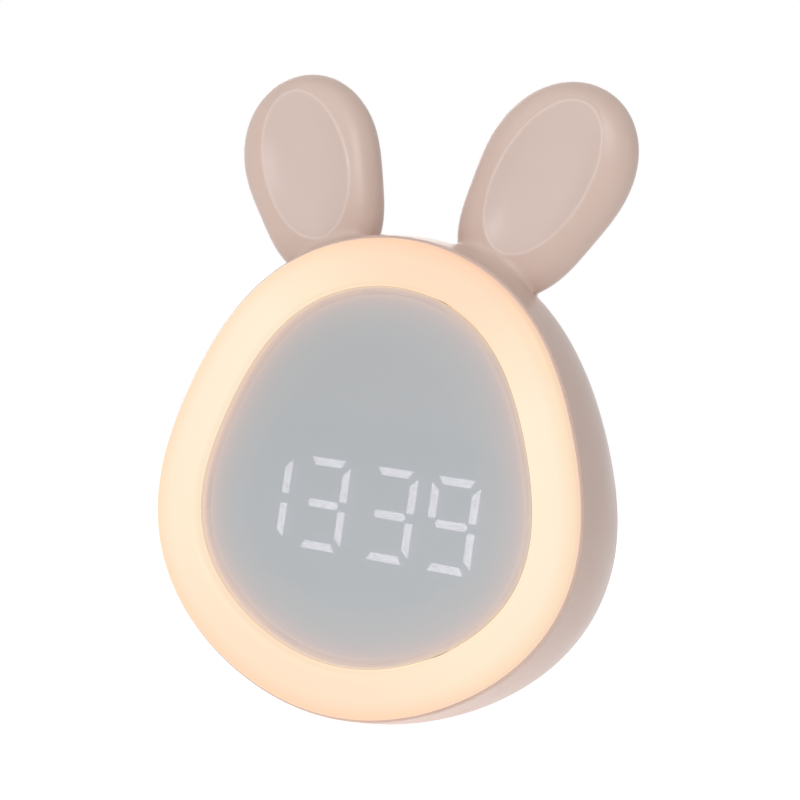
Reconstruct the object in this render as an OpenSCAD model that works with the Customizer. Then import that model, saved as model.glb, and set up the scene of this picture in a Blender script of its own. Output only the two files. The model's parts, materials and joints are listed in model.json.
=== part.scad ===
// Kids alarm clock with a night light ring, two ears and digits behind a half mirror.
// Millimetres. X runs to the right seen from the front, Y to the back, Z up.
// The origin lies on the surface that the clock stands on, under the middle of its foot.

/* [Body outline] */
// Height of the front outline
body_h = 120.3; // [114:0.1:128]
// Width of the front outline through its middle
body_w = 112.8; // [108:0.1:120]
// How much further the crown stands from the outline's middle than the sides do
outline_lift = 1.05; // [0.5:0.05:1.5]
// How far the lower flanks swell out
outline_belly = 1.76; // [1.2:0.02:2.2]
// How far the shoulders are flattened
outline_flank = 0.49; // [0.2:0.01:0.7]

/* [Casing] */
// Wall of the casing and of the rear cover
wall = 2.2; // [1.9:0.1:2.6]
// Depth of the side wall at mid height, from the light ring to the rear cover
side_depth = 34.8; // [34:0.2:39]
// How far the casing's front edge stands in front of the display plane
front_reach = 0.8; // [0.5:0.05:1]
// How far the casing's front edge stands outside the light ring
front_step = 0.8; // [0.4:0.05:1]
// How far the side wall widens from front to back
side_draft = 1.7; // [1.2:0.1:2.3]
// How far the side wall bulges between its edges
side_bulge = 2.77; // [2.2:0.01:3.1]
// How much less the side wall bulges at the top
top_drop = 1.2; // [0:0.1:1.4]
// Depth that the back loses for each millimetre of height
back_slope = 0.2; // [0.16:0.01:0.22]
// Radius of the rounded back edge
back_round = 7; // [6:0.5:8]
// Depth taken off the round underside to make the flat base
base_cut = 1.6; // [1.3:0.1:1.8]
// Gap between the rim of the rear cover and the casing
seam = 0.1; // [0.05:0.05:0.3]
// Length of the rear cover's lip inside the casing
lip_len = 3; // [2:0.5:4]
// Thickness of that lip
lip_t = 1.4; // [1.2:0.1:1.8]

/* [Foot] */
// Width of the rubber foot
foot_w = 18.4; // [15:0.1:19]
// Length of the foot from front to back
foot_len = 24; // [20:0.5:25]
// Corner radius of the foot
foot_round = 6; // [4:0.5:7]
// Thickness of the foot
foot_h = 1.2; // [1:0.1:1.6]
// How far the foot stands proud of the base
foot_proud = 0.4; // [0.3:0.1:0.6]
// Depth of the foot's middle behind the display plane
foot_mid = 28.5; // [27.5:0.5:29.5]
// Gap around the foot in its recess
foot_gap = 0.1; // [0.05:0.05:0.3]
// Rim of the base in front of the foot and behind it
pad_rim = 1.8; // [1.2:0.1:1.9]

/* [Ears] */
// Length of the ear's outline
ear_len = 59.2; // [54:0.1:63]
// Width of the ear's outline at its middle
ear_w = 37.9; // [35:0.1:41]
// How much the ear swells towards its tip
ear_swell = 3.3; // [2.4:0.1:4]
// How square the ear's tip is
ear_square = 0.2; // [0.1:0.02:0.5]
// Sideways distance of the ear's middle
ear_x = 30.8; // [29:0.1:34]
// Height of the ear's middle above the outline's middle
ear_z = 77.4; // [76:0.1:81]
// Angle that each ear leans outwards
ear_splay = 23.4; // [19:0.1:28]
// Depth of the ear's widest section behind the display plane
ear_y = 15; // [14:0.1:16]
// Depth of the ear in front of its widest section
ear_front = 6.8; // [6:0.1:8]
// Depth of the ear behind its widest section
ear_back = 7.3; // [6.6:0.1:7.6]
// How far the ear's rounding reaches inwards
ear_round = 10; // [8:0.1:11]
// Depth of the joint between ear and ear cover behind the widest section
ear_part = 5; // [4.4:0.1:5.4]
// Rim width of the ear's shell at that joint, measured from the ear's outline
ear_rim = 4.6; // [4.2:0.1:5.4]
// Length of the dished oval in the ear
dish_len = 42.4; // [38:0.1:45]
// Width of the dished oval
dish_w = 24; // [20:0.1:26]
// Depth of the dish
dish_deep = 3; // [2:0.1:3.4]
// Height of the dish's centre above the ear's middle
dish_up = 5.5; // [4.5:0.1:6.5]
// Thickness left under the dish
dish_floor = 1.9; // [1.6:0.1:2.1]

/* [Light ring] */
// Visible width of the light ring
ring_w = 11.8; // [10.5:0.1:12.6]
// Height of the ring's crown in front of the display plane
ring_crown = 3.2; // [2.6:0.1:3.8]
// Roundness of the crown: 2 is an ellipse, more is squarer
ring_square = 2.6; // [2:0.1:3.4]
// Thickness of the ring's two skirts
skirt_t = 1.5; // [1.2:0.1:1.7]
// Reach of the outer skirt behind the display plane
skirt_deep = 7; // [6:0.5:8]
// Gap around the ring's skirts
ring_gap = 0.2; // [0.15:0.05:0.3]
// Number of LEDs behind the ring
led_count = 24; // [12:12:36]

/* [Display] */
// Thickness of the mirror plate
lens_t = 2; // [1.6:0.1:2.4]
// Gap between the mirror plate and the ring
lens_gap = 0.15; // [0.1:0.05:0.25]
// Thickness of the tape behind the mirror plate
tape_t = 0.3; // [0.2:0.1:0.4]
// Height of a digit
digit_h = 23.6; // [18:0.1:25]
// Width of a digit
digit_w = 12.7; // [11:0.1:13.8]
// Stroke of the digits' bars
stroke = 2; // [1.6:0.1:2.4]
// Distance between the two digits of a pair
digit_pitch = 16.4; // [15.4:0.1:17]
// Distance between the pairs' inner digits
pair_pitch = 18.5; // [17.4:0.1:18.8]
// Sideways distance of the digits' middle
digit_x = -1.9; // [-3:0.1:3]
// Height of the digits' middle above the outline's middle
digit_z = -6.7; // [-9:0.1:-3]
// Distance of a level bar's outer corners from the digit's sides
bar_inset = 1.6; // [1.2:0.1:2]
// Distance of the digits' face behind the mirror plate
digit_gap = 1.35; // [0.8:0.05:1.6]
// Depth of a light bar in the digit housing
bar_deep = 2.2; // [1.5:0.1:3]

/* [Inner frame] */
// Depth of the frame plate's front face behind the display plane
frame_y = 13.3; // [13:0.1:14]
// Thickness of the frame plate
frame_t = 2; // [1.6:0.1:2.2]
// Thickness of the collar that carries the mirror plate
collar_t = 2; // [1.6:0.1:2.4]
// Thickness of the circuit boards
board_t = 1.6; // [1.2:0.1:1.6]
// Inward reach of the casing's ledge
ledge_in = 9; // [8.6:0.1:9.6]

/* [Keys] */
// Diameter of a small key
key_d = 9; // [8:0.1:9.6]
// Diameter of the light key
light_key_d = 15; // [12:0.1:16]
// Gap around a key
key_gap = 0.3; // [0.25:0.05:0.4]
// How far a key stands out of the back
key_proud = 0.9; // [0.7:0.1:1.2]
// Travel of a key
key_travel = 0.5; // [0.3:0.05:0.6]
// Travel of the alarm switch
switch_travel = 3; // [2.4:0.1:3.4]
// Depth of the main board's outer face inside the back
board_deep = 7.6; // [7.4:0.1:8]

/* [Batteries] */
// Diameter of a battery cell
cell_d = 10.5; // [10:0.1:10.6]
// Length of a battery cell
cell_len = 44.5; // [43:0.5:45]
// Distance between neighbouring cells
cell_pitch = 11.2; // [11:0.1:11.6]
// Thickness of the battery door
door_t = 2; // [1.6:0.1:2.2]
// Gap around the battery door
door_gap = 0.3; // [0.2:0.05:0.4]

/* [Fasteners] */
// Shank diameter of the screws
screw_d = 2.2; // [2:0.1:2.4]
// Head diameter of the screws
head_d = 4.2; // [3.8:0.1:4.4]
// Head height of the screws
head_h = 1.6; // [1.4:0.1:1.8]

/* [Hidden] */
$fn = 48;

// Colours of the mouldings and fittings
SHELL = [0.85, 0.75, 0.71];
GLOW = [1.0, 0.92, 0.80];
SMOKE = [0.70, 0.72, 0.72, 0.6];
WHITE = [0.95, 0.95, 0.94];
BOARD = [0.16, 0.42, 0.28];
STEEL = [0.75, 0.76, 0.78];
DARK = [0.15, 0.15, 0.16];

// Points round the body's outline and round an ear's
BODY_STEPS = 72;
EAR_STEPS = 40;

// Outlines are lobes: a mean radius plus cosines of one to five times the angle
BODY = [(body_h + body_w) / 4, outline_lift, (body_h - body_w) / 4, outline_belly, 0, -outline_flank];
EAR = [(ear_len + ear_w) / 4 - ear_square, ear_swell, (ear_len - ear_w) / 4, 0, ear_square, 0];
// An oval as a lobe: its radius at 45 degrees sets the fourth cosine
dish_diag = dish_len * dish_w / sqrt(2 * (dish_len * dish_len + dish_w * dish_w));
dish_mean = (dish_len + dish_w) / 8 + dish_diag / 2;
DISH = [dish_mean, 0, (dish_len - dish_w) / 4, 0, dish_mean - dish_diag, 0];

function lobe_r(s, a) = s * [1, cos(a), cos(2 * a), cos(3 * a), cos(4 * a), cos(5 * a)];
function lobe_slope(s, a) =
    -(s * [0, sin(a), 2 * sin(2 * a), 3 * sin(3 * a), 4 * sin(4 * a), 5 * sin(5 * a)]);

// A point of a lobe at angle a from its top, moved outwards by off along the outline's normal
function lobe_point(s, a, off) =
    let (r = lobe_r(s, a), d = lobe_slope(s, a))
    let (dx = d * sin(a) + r * cos(a), dz = d * cos(a) - r * sin(a), l = norm([dx, dz]))
    [r * sin(a) - off * dz / l, r * cos(a) + off * dx / l];
function outline(s, off, steps = BODY_STEPS) = [for (i = [0:steps - 1]) lobe_point(s, 360 * i / steps, off)];

// A closed loop in the plane y + tilt * z, for skin() below
function loop(s, off, y, tilt = 0, steps = BODY_STEPS) =
    [for (p = outline(s, off, steps)) [p[0], y + tilt * p[1], p[1]]];

// Derived depths, measured from the display plane
case_front = -front_reach;
side_end = case_front + side_depth;
back_mid = side_end + back_round;
back_angle = atan(back_slope);
back_t = wall;
function back_y(z) = back_mid - back_slope * z;
function side_off(t) = front_step + side_draft * t + side_bulge * sin(180 * t);
// The outline's lobes t of the way along the side wall, lower at the top and as they were at the foot
function side_lobes(t) = BODY - top_drop * sin(180 * t) * [3 / 8, 1 / 2, 1 / 8, 0, 0, 0];
function side_loop(t, inset) =
    loop(side_lobes(t), side_off(t) - inset, case_front + side_depth * t, -back_slope * t);
side_t = [0, 0.16, 0.33, 0.5, 0.67, 0.84, 1];
widest_off = side_off(0.62);
// The rounded back edge, at angle g round its bend
function back_loop(g, grow) = loop(BODY, side_off(1) - back_round * (1 - cos(g)) + grow,
    side_end + (back_round + grow) * sin(g), -back_slope);

// Heights above the outline's middle
foot_r = lobe_r(BODY, 180);
base_z = -(foot_r + widest_off - base_cut);
floor_z = base_z - foot_proud;

// The frame and its neighbours
case_mouth = front_step - wall;
skirt_out = case_mouth - ring_gap;
lens_y = 0.25;
collar_y = lens_y + lens_t + tape_t;
collar_out = -ring_w - ring_gap;
board_y = frame_y - board_t;
ledge_y = frame_y + frame_t;
ledge_t = 2;
ledge_out = 2.4;
frame_out = case_mouth - 0.4;
frame_screw_off = -6.5;
frame_screw_a = [30, 90, 150, 210, 270, 330];
frame_boss_d = 5;
frame_boss_l = 4;
frame_screw_l = 6;
pilot_gap = 0.05;
pilot_d = screw_d + 2 * pilot_gap;
clear_gap = 0.6;
clear_d = screw_d + clear_gap;

// Screws of the rear cover
cover_screw_a = [52, 128, 232, 308];
cover_screw_off = -7;
cover_post_d = 9;
case_boss_d = 7;
cover_post_l = 7;
cover_seat = 4;
cover_screw_l = 11;

// Slant of a level bar's ends, half the gap between two upright bars, and the gap at a bar's tip
bar_slant = 1.15;
bar_waist = 1.25;
bar_tip = 0.1;

// The digits: rows and columns, left edges of the four digits
digit_left = [-pair_pitch / 2 - digit_w / 2 - digit_pitch, -pair_pitch / 2 - digit_w / 2,
    pair_pitch / 2 - digit_w / 2, pair_pitch / 2 - digit_w / 2 + digit_pitch];
digit_y = lens_y + lens_t + digit_gap;
housing_w = digit_left[3] + digit_w + 1.6;
housing_edge = 4;
digit_board_r = 10;
digit_screw_x = 22;
digit_screw_z = digit_h / 2 + housing_edge + 3;
digit_board_w = 2 * housing_w + 1.2;
digit_board_h = 2 * digit_screw_z + 5.6;
board_screw_l = 5;
window_w = 50;
window_h = 16;
driver_chip_size = [12, 1.6, 7];
driver_chip_x = 8;
// Bars that are lit, in the order top, upper right, lower right, bottom, lower left, upper left, middle
SHOWN = [[0, 1, 1, 0, 0, 0, 0], [1, 1, 1, 1, 0, 0, 1], [1, 1, 1, 1, 0, 0, 1], [1, 1, 1, 1, 0, 1, 1]];

// The back in its own frame: x across, y out of the back, z up along it
main_w = 64;
main_low = 2;
main_high = 37;
main_screws = [[-28.5, 5], [28.5, 5], [-28.5, 34], [28.5, 34]];
key_row = 12;
light_key_z = 26.5;
keys = [[-21, key_row, key_d], [-8, key_row, key_d], [5, key_row, key_d], [0, light_key_z, light_key_d]];
flange_t = 0.9;
flange_gap = 0.1;
flange_edge = 1.3;
stem_gap = 0.05;
alarm_x = 21;
buzzer_x = -19.5;
usb_x = 19.5;
usb_w = 9;
usb_h = 3.2;
usb_len = board_deep - 1.2;
knob_w = 2.8;
knob_len = 3.4;
knob_gap = 0.3;

// Battery tray in the back's frame
tray_z = -24.5;
tray_wall = 1.6;
tray_half = cell_len / 2 + 2.35;
tray_h = 2 * cell_pitch + cell_d + 1.1;
contact_t = 0.4;
contact_w = 8;
cell_y = -(door_t + 0.7 + cell_d / 2);
tray_deep = door_t + 0.7 + cell_d + 0.2;
door_w = 2 * (tray_half + tray_wall) + 4;
door_h = tray_h + 8;
door_r = 7;
lobe_d = 10;
lobe_z = door_h / 2 + 1;
door_seat = 2.4;
door_boss_d = 6;
door_boss_deep = 7.2;
door_screw_l = 5;
door_screw_deep = 0.8;
wire_d = 1.2;
// Where the ring's wires leave its board, measured inwards from the outline
lead_off = -ledge_in - 1.5;

// ---------------------------------------------------------------- shared shapes

// The display plane's frame: y 0 on the display plane, z 0 at the outline's middle
module at_face() {
    translate([0, -foot_mid, -floor_z]) children();
}

// The back's frame: y 0 on the outside of the back, z up along it
module at_back() {
    at_face() translate([0, back_mid, 0]) rotate([back_angle, 0, 0]) children();
}

module at_ear(side) {
    at_face() translate([side * ear_x, 0, ear_z]) rotate([0, side * ear_splay, 0]) children();
}

// Joins loops of points into one solid: caps on the first and last loop, or a closed band
module skin(loops, band = false) {
    n = len(loops[0]);
    m = len(loops);
    sides = [for (j = [0:(band ? m - 1 : m - 2)], i = [0:n - 1])
        let (a = j * n + i, b = ((j + 1) % m) * n + i, c = ((j + 1) % m) * n + (i + 1) % n, d = j * n + (i + 1) % n)
        each [[a, b, c], [a, c, d]]];
    caps = band ? [] : [[for (i = [0:n - 1]) i], [for (i = [n - 1:-1:0]) (m - 1) * n + i]];
    polyhedron(points = [for (l = loops) each l], faces = concat(caps, sides));
}

// A flat shape drawn in X and Z, from depth y to depth y + t
module plate(y, t) {
    translate([0, y + t, 0]) rotate([90, 0, 0]) linear_extrude(t) children();
}

module rounded(w, h, r) {
    square([w - 2 * r, h], center = true);
    square([w, h - 2 * r], center = true);
    for (x = [-1, 1], z = [-1, 1]) translate([x * (w / 2 - r), z * (h / 2 - r)]) circle(r);
}

// A round bar along Y, from depth y to depth y + l
module rod(y, l, d) {
    translate([0, y, 0]) rotate([-90, 0, 0]) cylinder(h = l, d = d);
}

// A screw whose head seat is at depth 0, with its shank towards the front
module screw(l) {
    slot = [head_d * 0.66, head_h, 0.6];
    difference() {
        union() {
            rod(-l, l + 0.1, screw_d);
            rod(0, head_h, head_d);
        }
        translate([0, head_h, 0]) {
            cube(slot, center = true);
            rotate([0, 90, 0]) cube(slot, center = true);
        }
    }
}

module at_spot(a, off) {
    p = lobe_point(BODY, a, off);
    translate([p[0], 0, p[1]]) children();
}

// A point on a smooth curve through p, u of the way from point i to the next
function curve_point(p, i, u) =
    let (a = p[max(i - 1, 0)], b = p[i], c = p[i + 1], d = p[min(i + 2, len(p) - 1)])
    b + 0.5 * u * (c - a) + u * u * (a - 2.5 * b + 2 * c - 0.5 * d) + u * u * u * (1.5 * (b - c) + 0.5 * (d - a));
function curve(p, k) = [for (i = [0:len(p) - 2], j = [0:k - 1]) curve_point(p, i, j / k), p[len(p) - 1]];
function unit(v) = v / norm(v);

// A wire of diameter d along the points p, which never run along X
module wire(p, d, sides = 8) {
    last = len(p) - 1;
    skin([for (i = [0:last])
        let (t = unit(p[min(i + 1, last)] - p[max(i - 1, 0)]))
        let (u = unit([1, 0, 0] - t[0] * t), v = cross(t, u))
        [for (k = [0:sides - 1]) p[i] + d / 2 * (u * cos(360 * k / sides) + v * sin(360 * k / sides))]]);
}

// ---------------------------------------------------------------- casing

// The ear's outside from its front to depth last, as loops
function ear_front_loop(g) = loop(EAR, -ear_round * (1 - cos(g)), ear_y - ear_front * sin(g), 0, EAR_STEPS);
function ear_back_off(y) = -ear_round * (1 - sqrt(1 - pow((y - ear_y) / ear_back, 2)));
function ear_back_loop(y) = loop(EAR, ear_back_off(y), y, 0, EAR_STEPS);
ear_joint = ear_y + ear_part;
dish_top = ear_y - ear_front;
hollow_y = dish_top + dish_deep + dish_floor;
ear_floor = 0.3;
ear_screw_l = 6;
head_sunk = 0.3;
head_gap = 0.6;
root_gap = 0.2;
root_off = 1.4;

module ear_front_half(side) {
    difference() {
        at_ear(side) skin(concat([for (g = [90:-18:0]) ear_front_loop(g)],
            [for (k = [1:3]) ear_back_loop(ear_y + ear_part * k / 3)]));
        at_face() plate(0, back_mid) polygon(outline(BODY, root_off));
        difference() {
            at_ear(side) plate(hollow_y, ear_back) polygon(outline(EAR, -ear_rim, EAR_STEPS));
            at_face() plate(0, back_mid) polygon(outline(BODY, widest_off + ear_floor));
            at_ear(side) rod(0, back_mid, 2 * screw_d + 1.6);
        }
        at_ear(side) translate([0, 0, dish_up])
            skin([for (g = [-8, 12, 30, 48, 66, 82])
                loop(DISH * cos(g), 0, dish_top + dish_deep * sin(g), 0, EAR_STEPS)]);
        at_ear(side) rod(hollow_y + 0.6, ear_back, pilot_d);
    }
}

module case_wall() {
    at_face() skin(concat([for (t = side_t) side_loop(t, 0)],
        [for (i = [len(side_t) - 1:-1:0]) side_loop(side_t[i], wall)]), band = true);
}

// Ledge that the inner frame is screwed to, and the bosses of the rear cover's screws
module case_ledge() {
    at_face() {
        plate(ledge_y, ledge_t) difference() {
            polygon(outline(BODY, ledge_out));
            polygon(outline(BODY, -ledge_in));
        }
        for (a = cover_screw_a) at_spot(a, cover_screw_off) {
            end = back_y(lobe_point(BODY, a, cover_screw_off)[1]) - cover_post_l - seam;
            rod(ledge_y + ledge_t / 2, end - ledge_y - ledge_t / 2, case_boss_d);
        }
    }
}

// Pad that closes the casing over the flat base, kept inside the wall's outer skin
module base_pad() {
    pad_w = foot_w + 4 * wall;
    pad_len = foot_len + 2 * pad_rim;
    at_face() intersection() {
        translate([-pad_w / 2, foot_mid - pad_len / 2, base_z - base_cut])
            cube([pad_w, pad_len, base_cut + wall + foot_h - foot_proud]);
        skin([for (t = side_t) side_loop(t, wall / 3)]);
    }
}

module case_shell() {
    color(SHELL) difference() {
        union() {
            case_wall();
            case_ledge();
            ear_front_half(-1);
            ear_front_half(1);
            base_pad();
        }
        at_face() {
            translate([-body_w / 2, -ring_crown, base_z - body_h])
                cube([body_w, back_y(base_z) + body_h, body_h]);
            for (a = frame_screw_a) at_spot(a, frame_screw_off) rod(frame_y, frame_t + 2 * ledge_t, clear_d);
            for (a = cover_screw_a) at_spot(a, cover_screw_off) {
                end = back_y(lobe_point(BODY, a, cover_screw_off)[1]);
                rod(end - cover_seat - cover_screw_l - 0.5, cover_screw_l + 2, pilot_d);
            }
        }
        foot_slab(base_z - 1, foot_h - foot_proud + 1, foot_gap);
    }
}

// The foot's outline grown by g, from height z
module foot_slab(z, h, g) {
    at_face() translate([0, foot_mid, z]) linear_extrude(h)
        rounded(foot_w + 2 * g, foot_len + 2 * g, foot_round + g);
}

module rubber_foot() {
    color(WHITE) foot_slab(floor_z, foot_h, 0);
}

module ear_cover(side) {
    plug_t = 1.3;
    plug_in = ear_rim + root_gap;
    plug_deep = 1.6;
    seat = ear_joint + seam;
    color(SHELL) difference() {
        at_ear(side) {
            skin([for (k = [0:4]) ear_back_loop(seat + (ear_y + ear_back - 0.02 - seat) * sin(22.5 * k))]);
            plate(seat - plug_deep, plug_deep + 0.1) difference() {
                polygon(outline(EAR, -plug_in, EAR_STEPS));
                polygon(outline(EAR, -plug_in - plug_t, EAR_STEPS));
            }
        }
        at_face() {
            skin(concat([for (t = side_t) side_loop(t, -root_gap)], [for (g = [30, 60, 90]) back_loop(g, root_gap)]));
            plate(0, seat) polygon(outline(BODY, widest_off + ear_floor + root_gap));
        }
        at_ear(side) {
            rod(0, back_mid, clear_d);
            rod(ear_y + ear_back - head_h - head_sunk, back_mid, head_d + head_gap);
        }
    }
}
module ear_back_left() {
    ear_cover(-1);
}
module ear_back_right() {
    ear_cover(1);
}

module ear_screws() {
    color(STEEL) for (side = [-1, 1])
        at_ear(side) translate([0, ear_y + ear_back - head_h - head_sunk, 0]) screw(ear_screw_l);
}

// ---------------------------------------------------------------- rear cover

// Outline of the battery door, grown by g
module door_shape(g) {
    rounded(door_w + 2 * g, door_h + 2 * g, door_r + g);
    for (z = [-lobe_z, lobe_z]) translate([0, z]) circle(d = lobe_d + 2 * g);
}

// The cover's shell: the flat inside, its wall and lip, then the outside back to the flat
module cover_dish() {
    inner_r = back_round - wall - ring_gap - lip_t;
    lip_in = side_off(1) - wall - ring_gap - lip_t;
    lip_out = side_off(1) - wall - ring_gap;
    flat_off = side_off(1) - back_round;
    bend_y = back_mid - back_t - inner_r;
    at_face() skin(concat(
        [for (g = [90:-30:0]) loop(BODY, flat_off + inner_r * cos(g), bend_y + inner_r * sin(g), -back_slope)],
        [loop(BODY, lip_in, side_end - lip_len, -back_slope), loop(BODY, lip_out, side_end - lip_len, -back_slope)],
        [loop(BODY, lip_out, side_end + seam, -back_slope)],
        [for (g = [1, 22.5, 45, 67.5, 90]) back_loop(g, 0)]));
}

module rear_cover() {
    tray_w = 2 * (tray_half + tray_wall);
    color(SHELL) difference() {
        union() {
            cover_dish();
            at_face() for (a = cover_screw_a) at_spot(a, cover_screw_off) {
                end = back_y(lobe_point(BODY, a, cover_screw_off)[1]);
                rod(end - cover_post_l, cover_post_l - 1.2, cover_post_d);
            }
            at_back() {
                for (s = main_screws) translate([s[0], 0, s[1]]) rod(-board_deep, board_deep - 1, 2 * screw_d + 1.6);
                translate([0, 0, tray_z]) {
                    plate(-door_t - door_seat, door_t + door_seat - 1) door_shape(2.5);
                    plate(-tray_deep - tray_wall, tray_deep + tray_wall - 1)
                        square([tray_w, tray_h + 2 * tray_wall], center = true);
                    for (z = [-lobe_z, lobe_z]) translate([0, 0, z]) rod(-door_boss_deep, door_boss_deep - 1, door_boss_d);
                }
            }
        }
        at_face() for (a = cover_screw_a) at_spot(a, cover_screw_off) {
            end = back_y(lobe_point(BODY, a, cover_screw_off)[1]);
            rod(end - back_mid, back_mid + 5, clear_d);
            rod(end - cover_seat, cover_seat + back_mid, head_d + head_gap);
        }
        at_back() {
            for (s = main_screws) translate([s[0], 0, s[1]]) rod(-board_deep - 1, 5.4, pilot_d);
            for (k = keys) translate([k[0], 0, k[1]]) rod(-10, 20, k[2] + 2 * key_gap);
            translate([alarm_x, 0, key_row])
                plate(-5, 10) square([knob_w + 2 * knob_gap, knob_len + switch_travel + 2 * knob_gap], center = true);
            translate([usb_x, 0, light_key_z]) plate(-5, 10) rounded(usb_w + 0.8, usb_h + 0.8, 1.9);
            for (k = [-2:2]) translate([buzzer_x, 0, light_key_z + 2.6 * k]) plate(-5, 10) rounded(10, 1.2, 0.59);
            translate([0, 0, tray_z]) {
                plate(-door_t - 0.1, 5) door_shape(door_gap);
                plate(-tray_deep, tray_deep + 1) square([2 * tray_half, tray_h], center = true);
                for (z = [-lobe_z, lobe_z]) translate([0, 0, z]) rod(-door_t - door_screw_l, 10, pilot_d);
            }
        }
    }
}

module cover_screws() {
    color(STEEL) at_face() for (a = cover_screw_a) at_spot(a, cover_screw_off) {
        end = back_y(lobe_point(BODY, a, cover_screw_off)[1]);
        translate([0, end - cover_seat, 0]) screw(cover_screw_l);
    }
}

module battery_door() {
    rib = tray_h - 2;
    color(SHELL) at_back() translate([0, 0, tray_z]) difference() {
        union() {
            plate(-door_t, door_t) door_shape(0);
            for (x = [-1, 1]) translate([x * (tray_half - 3), 0, 0])
                plate(-door_t - 0.5, 0.6) square([1, rib], center = true);
        }
        for (z = [-lobe_z, lobe_z]) translate([0, 0, z]) {
            rod(-door_t - 1, 5, clear_d);
            rod(-door_screw_deep, 5, head_d + head_gap);
        }
    }
}

module door_screws() {
    color(STEEL) at_back() for (z = [-lobe_z, lobe_z])
        translate([0, -door_screw_deep, tray_z + z]) intersection() {
            screw(door_screw_l);
            rod(-door_screw_l, door_screw_l + door_screw_deep, head_d + 1);
        }
}

// ---------------------------------------------------------------- light ring and display

// The ring's section: crown, outer side, outer skirt, roof, inner skirt
module light_ring() {
    roof = 0.6;
    inner_y = 0.1;
    outer_y = case_front - seam;
    rise = ring_crown + (inner_y + outer_y) / 2;
    power = 2 / ring_square;
    inner_skirt = skirt_deep - 1.5;
    crown = [for (g = [180:-20:0])
        let (u = (1 + sign(cos(g)) * pow(abs(cos(g)), power)) / 2)
        [ring_w * (u - 1), inner_y + u * (outer_y - inner_y) - rise * pow(max(sin(g), 0), power)]];
    back = [[skirt_out, outer_y], [skirt_out, skirt_deep],
        [skirt_out - skirt_t, skirt_deep], [skirt_out - skirt_t, roof], [skirt_t - ring_w, roof],
        [skirt_t - ring_w, inner_skirt], [-ring_w, inner_skirt]];
    color(GLOW) at_face() skin([for (p = concat(crown, back)) loop(BODY, p[0], p[1])], band = true);
}

module display_lens() {
    color(SMOKE) at_face() plate(lens_y, lens_t) polygon(outline(BODY, -ring_w - lens_gap));
}

module lens_tape() {
    color(DARK) at_face() plate(lens_y + lens_t, tape_t) difference() {
        polygon(outline(BODY, collar_out - 0.2));
        polygon(outline(BODY, collar_out - collar_t + 0.2));
    }
}

module at_digits() {
    at_face() translate([digit_x, 0, digit_z]) children();
}
module for_digit_screws() {
    at_digits() for (x = [-1, 1], z = [-1, 1]) translate([x * digit_screw_x, 0, z * digit_screw_z]) children();
}

module light_frame() {
    color(WHITE) difference() {
        union() {
            at_face() {
                plate(frame_y, frame_t) polygon(outline(BODY, frame_out));
                plate(collar_y, frame_y - collar_y + 0.5) difference() {
                    polygon(outline(BODY, collar_out));
                    polygon(outline(BODY, collar_out - collar_t));
                }
                for (a = frame_screw_a) at_spot(a, frame_screw_off)
                    rod(frame_y - frame_boss_l, frame_boss_l + 1, frame_boss_d);
            }
            for_digit_screws() rod(frame_y + 1, frame_t + 2, frame_boss_d);
        }
        at_digits() plate(frame_y - 1, frame_t + 2) rounded(window_w, window_h, 2);
        at_face() {
            at_spot(180, lead_off) rod(frame_y - 1, frame_t + 2, 4 * wire_d);
            for (a = frame_screw_a) at_spot(a, frame_screw_off) rod(frame_y - frame_boss_l + 0.6, 20, pilot_d);
        }
        for_digit_screws() rod(0, ledge_y + 2.5, pilot_d);
    }
}

module frame_screws() {
    color(STEEL) at_face() for (a = frame_screw_a) at_spot(a, frame_screw_off)
        translate([0, ledge_y + ledge_t, 0]) screw(frame_screw_l);
}

module ring_board() {
    color(WHITE) at_face() difference() {
        plate(board_y, board_t) difference() {
            polygon(outline(BODY, skirt_out - skirt_t - 0.2));
            polygon(outline(BODY, collar_out + 0.3));
        }
        for (a = frame_screw_a) at_spot(a, frame_screw_off) rod(board_y - 1, board_t + 2, frame_boss_d + 0.5);
    }
}

module ring_leds() {
    color(GLOW) at_face() for (i = [0:led_count - 1]) {
        a = 360 * (i + 0.5) / led_count;
        at_spot(a, -ring_w / 2 - 1.6) rotate([0, a, 0]) translate([-1.75, board_y - 0.8, -1.4]) cube([3.5, 0.8, 2.8]);
    }
}

// One light bar of a digit whose lower left corner is at 0, 0
module bar(k) {
    w = digit_w;
    h = digit_h;
    s = stroke;
    m = h / 2;
    tip = s + bar_tip;
    top = h - bar_inset - bar_tip;
    upright = [[0, m + bar_waist], [0, top], [s, top - s], [s, m + bar_waist]];
    inner = bar_inset + bar_slant;
    level = [[bar_inset, h], [w - bar_inset, h], [w - inner, h - s], [inner, h - s]];
    middle = [[tip, m], [tip + s / 4, m + s / 2], [w - tip - s / 4, m + s / 2],
        [w - tip, m], [w - tip - s / 4, m - s / 2], [tip + s / 4, m - s / 2]];
    if (k == 0) polygon(level);
    if (k == 1) translate([w, 0]) mirror([1, 0]) polygon(upright);
    if (k == 2) translate([w, h]) mirror([1, 0]) mirror([0, 1]) polygon(upright);
    if (k == 3) translate([0, h]) mirror([0, 1]) polygon(level);
    if (k == 4) translate([0, h]) mirror([0, 1]) polygon(upright);
    if (k == 5) polygon(upright);
    if (k == 6) polygon(middle);
}

// All bars whose state is lit, as flat shapes
module bars(lit) {
    for (d = [0:3], k = [0:6]) if (SHOWN[d][k] == lit) translate([digit_left[d], -digit_h / 2]) bar(k);
}
module colon_dots() {
    for (z = [-1, 1]) translate([0, z * digit_h / 5]) square(stroke * 0.8, center = true);
}

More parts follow.
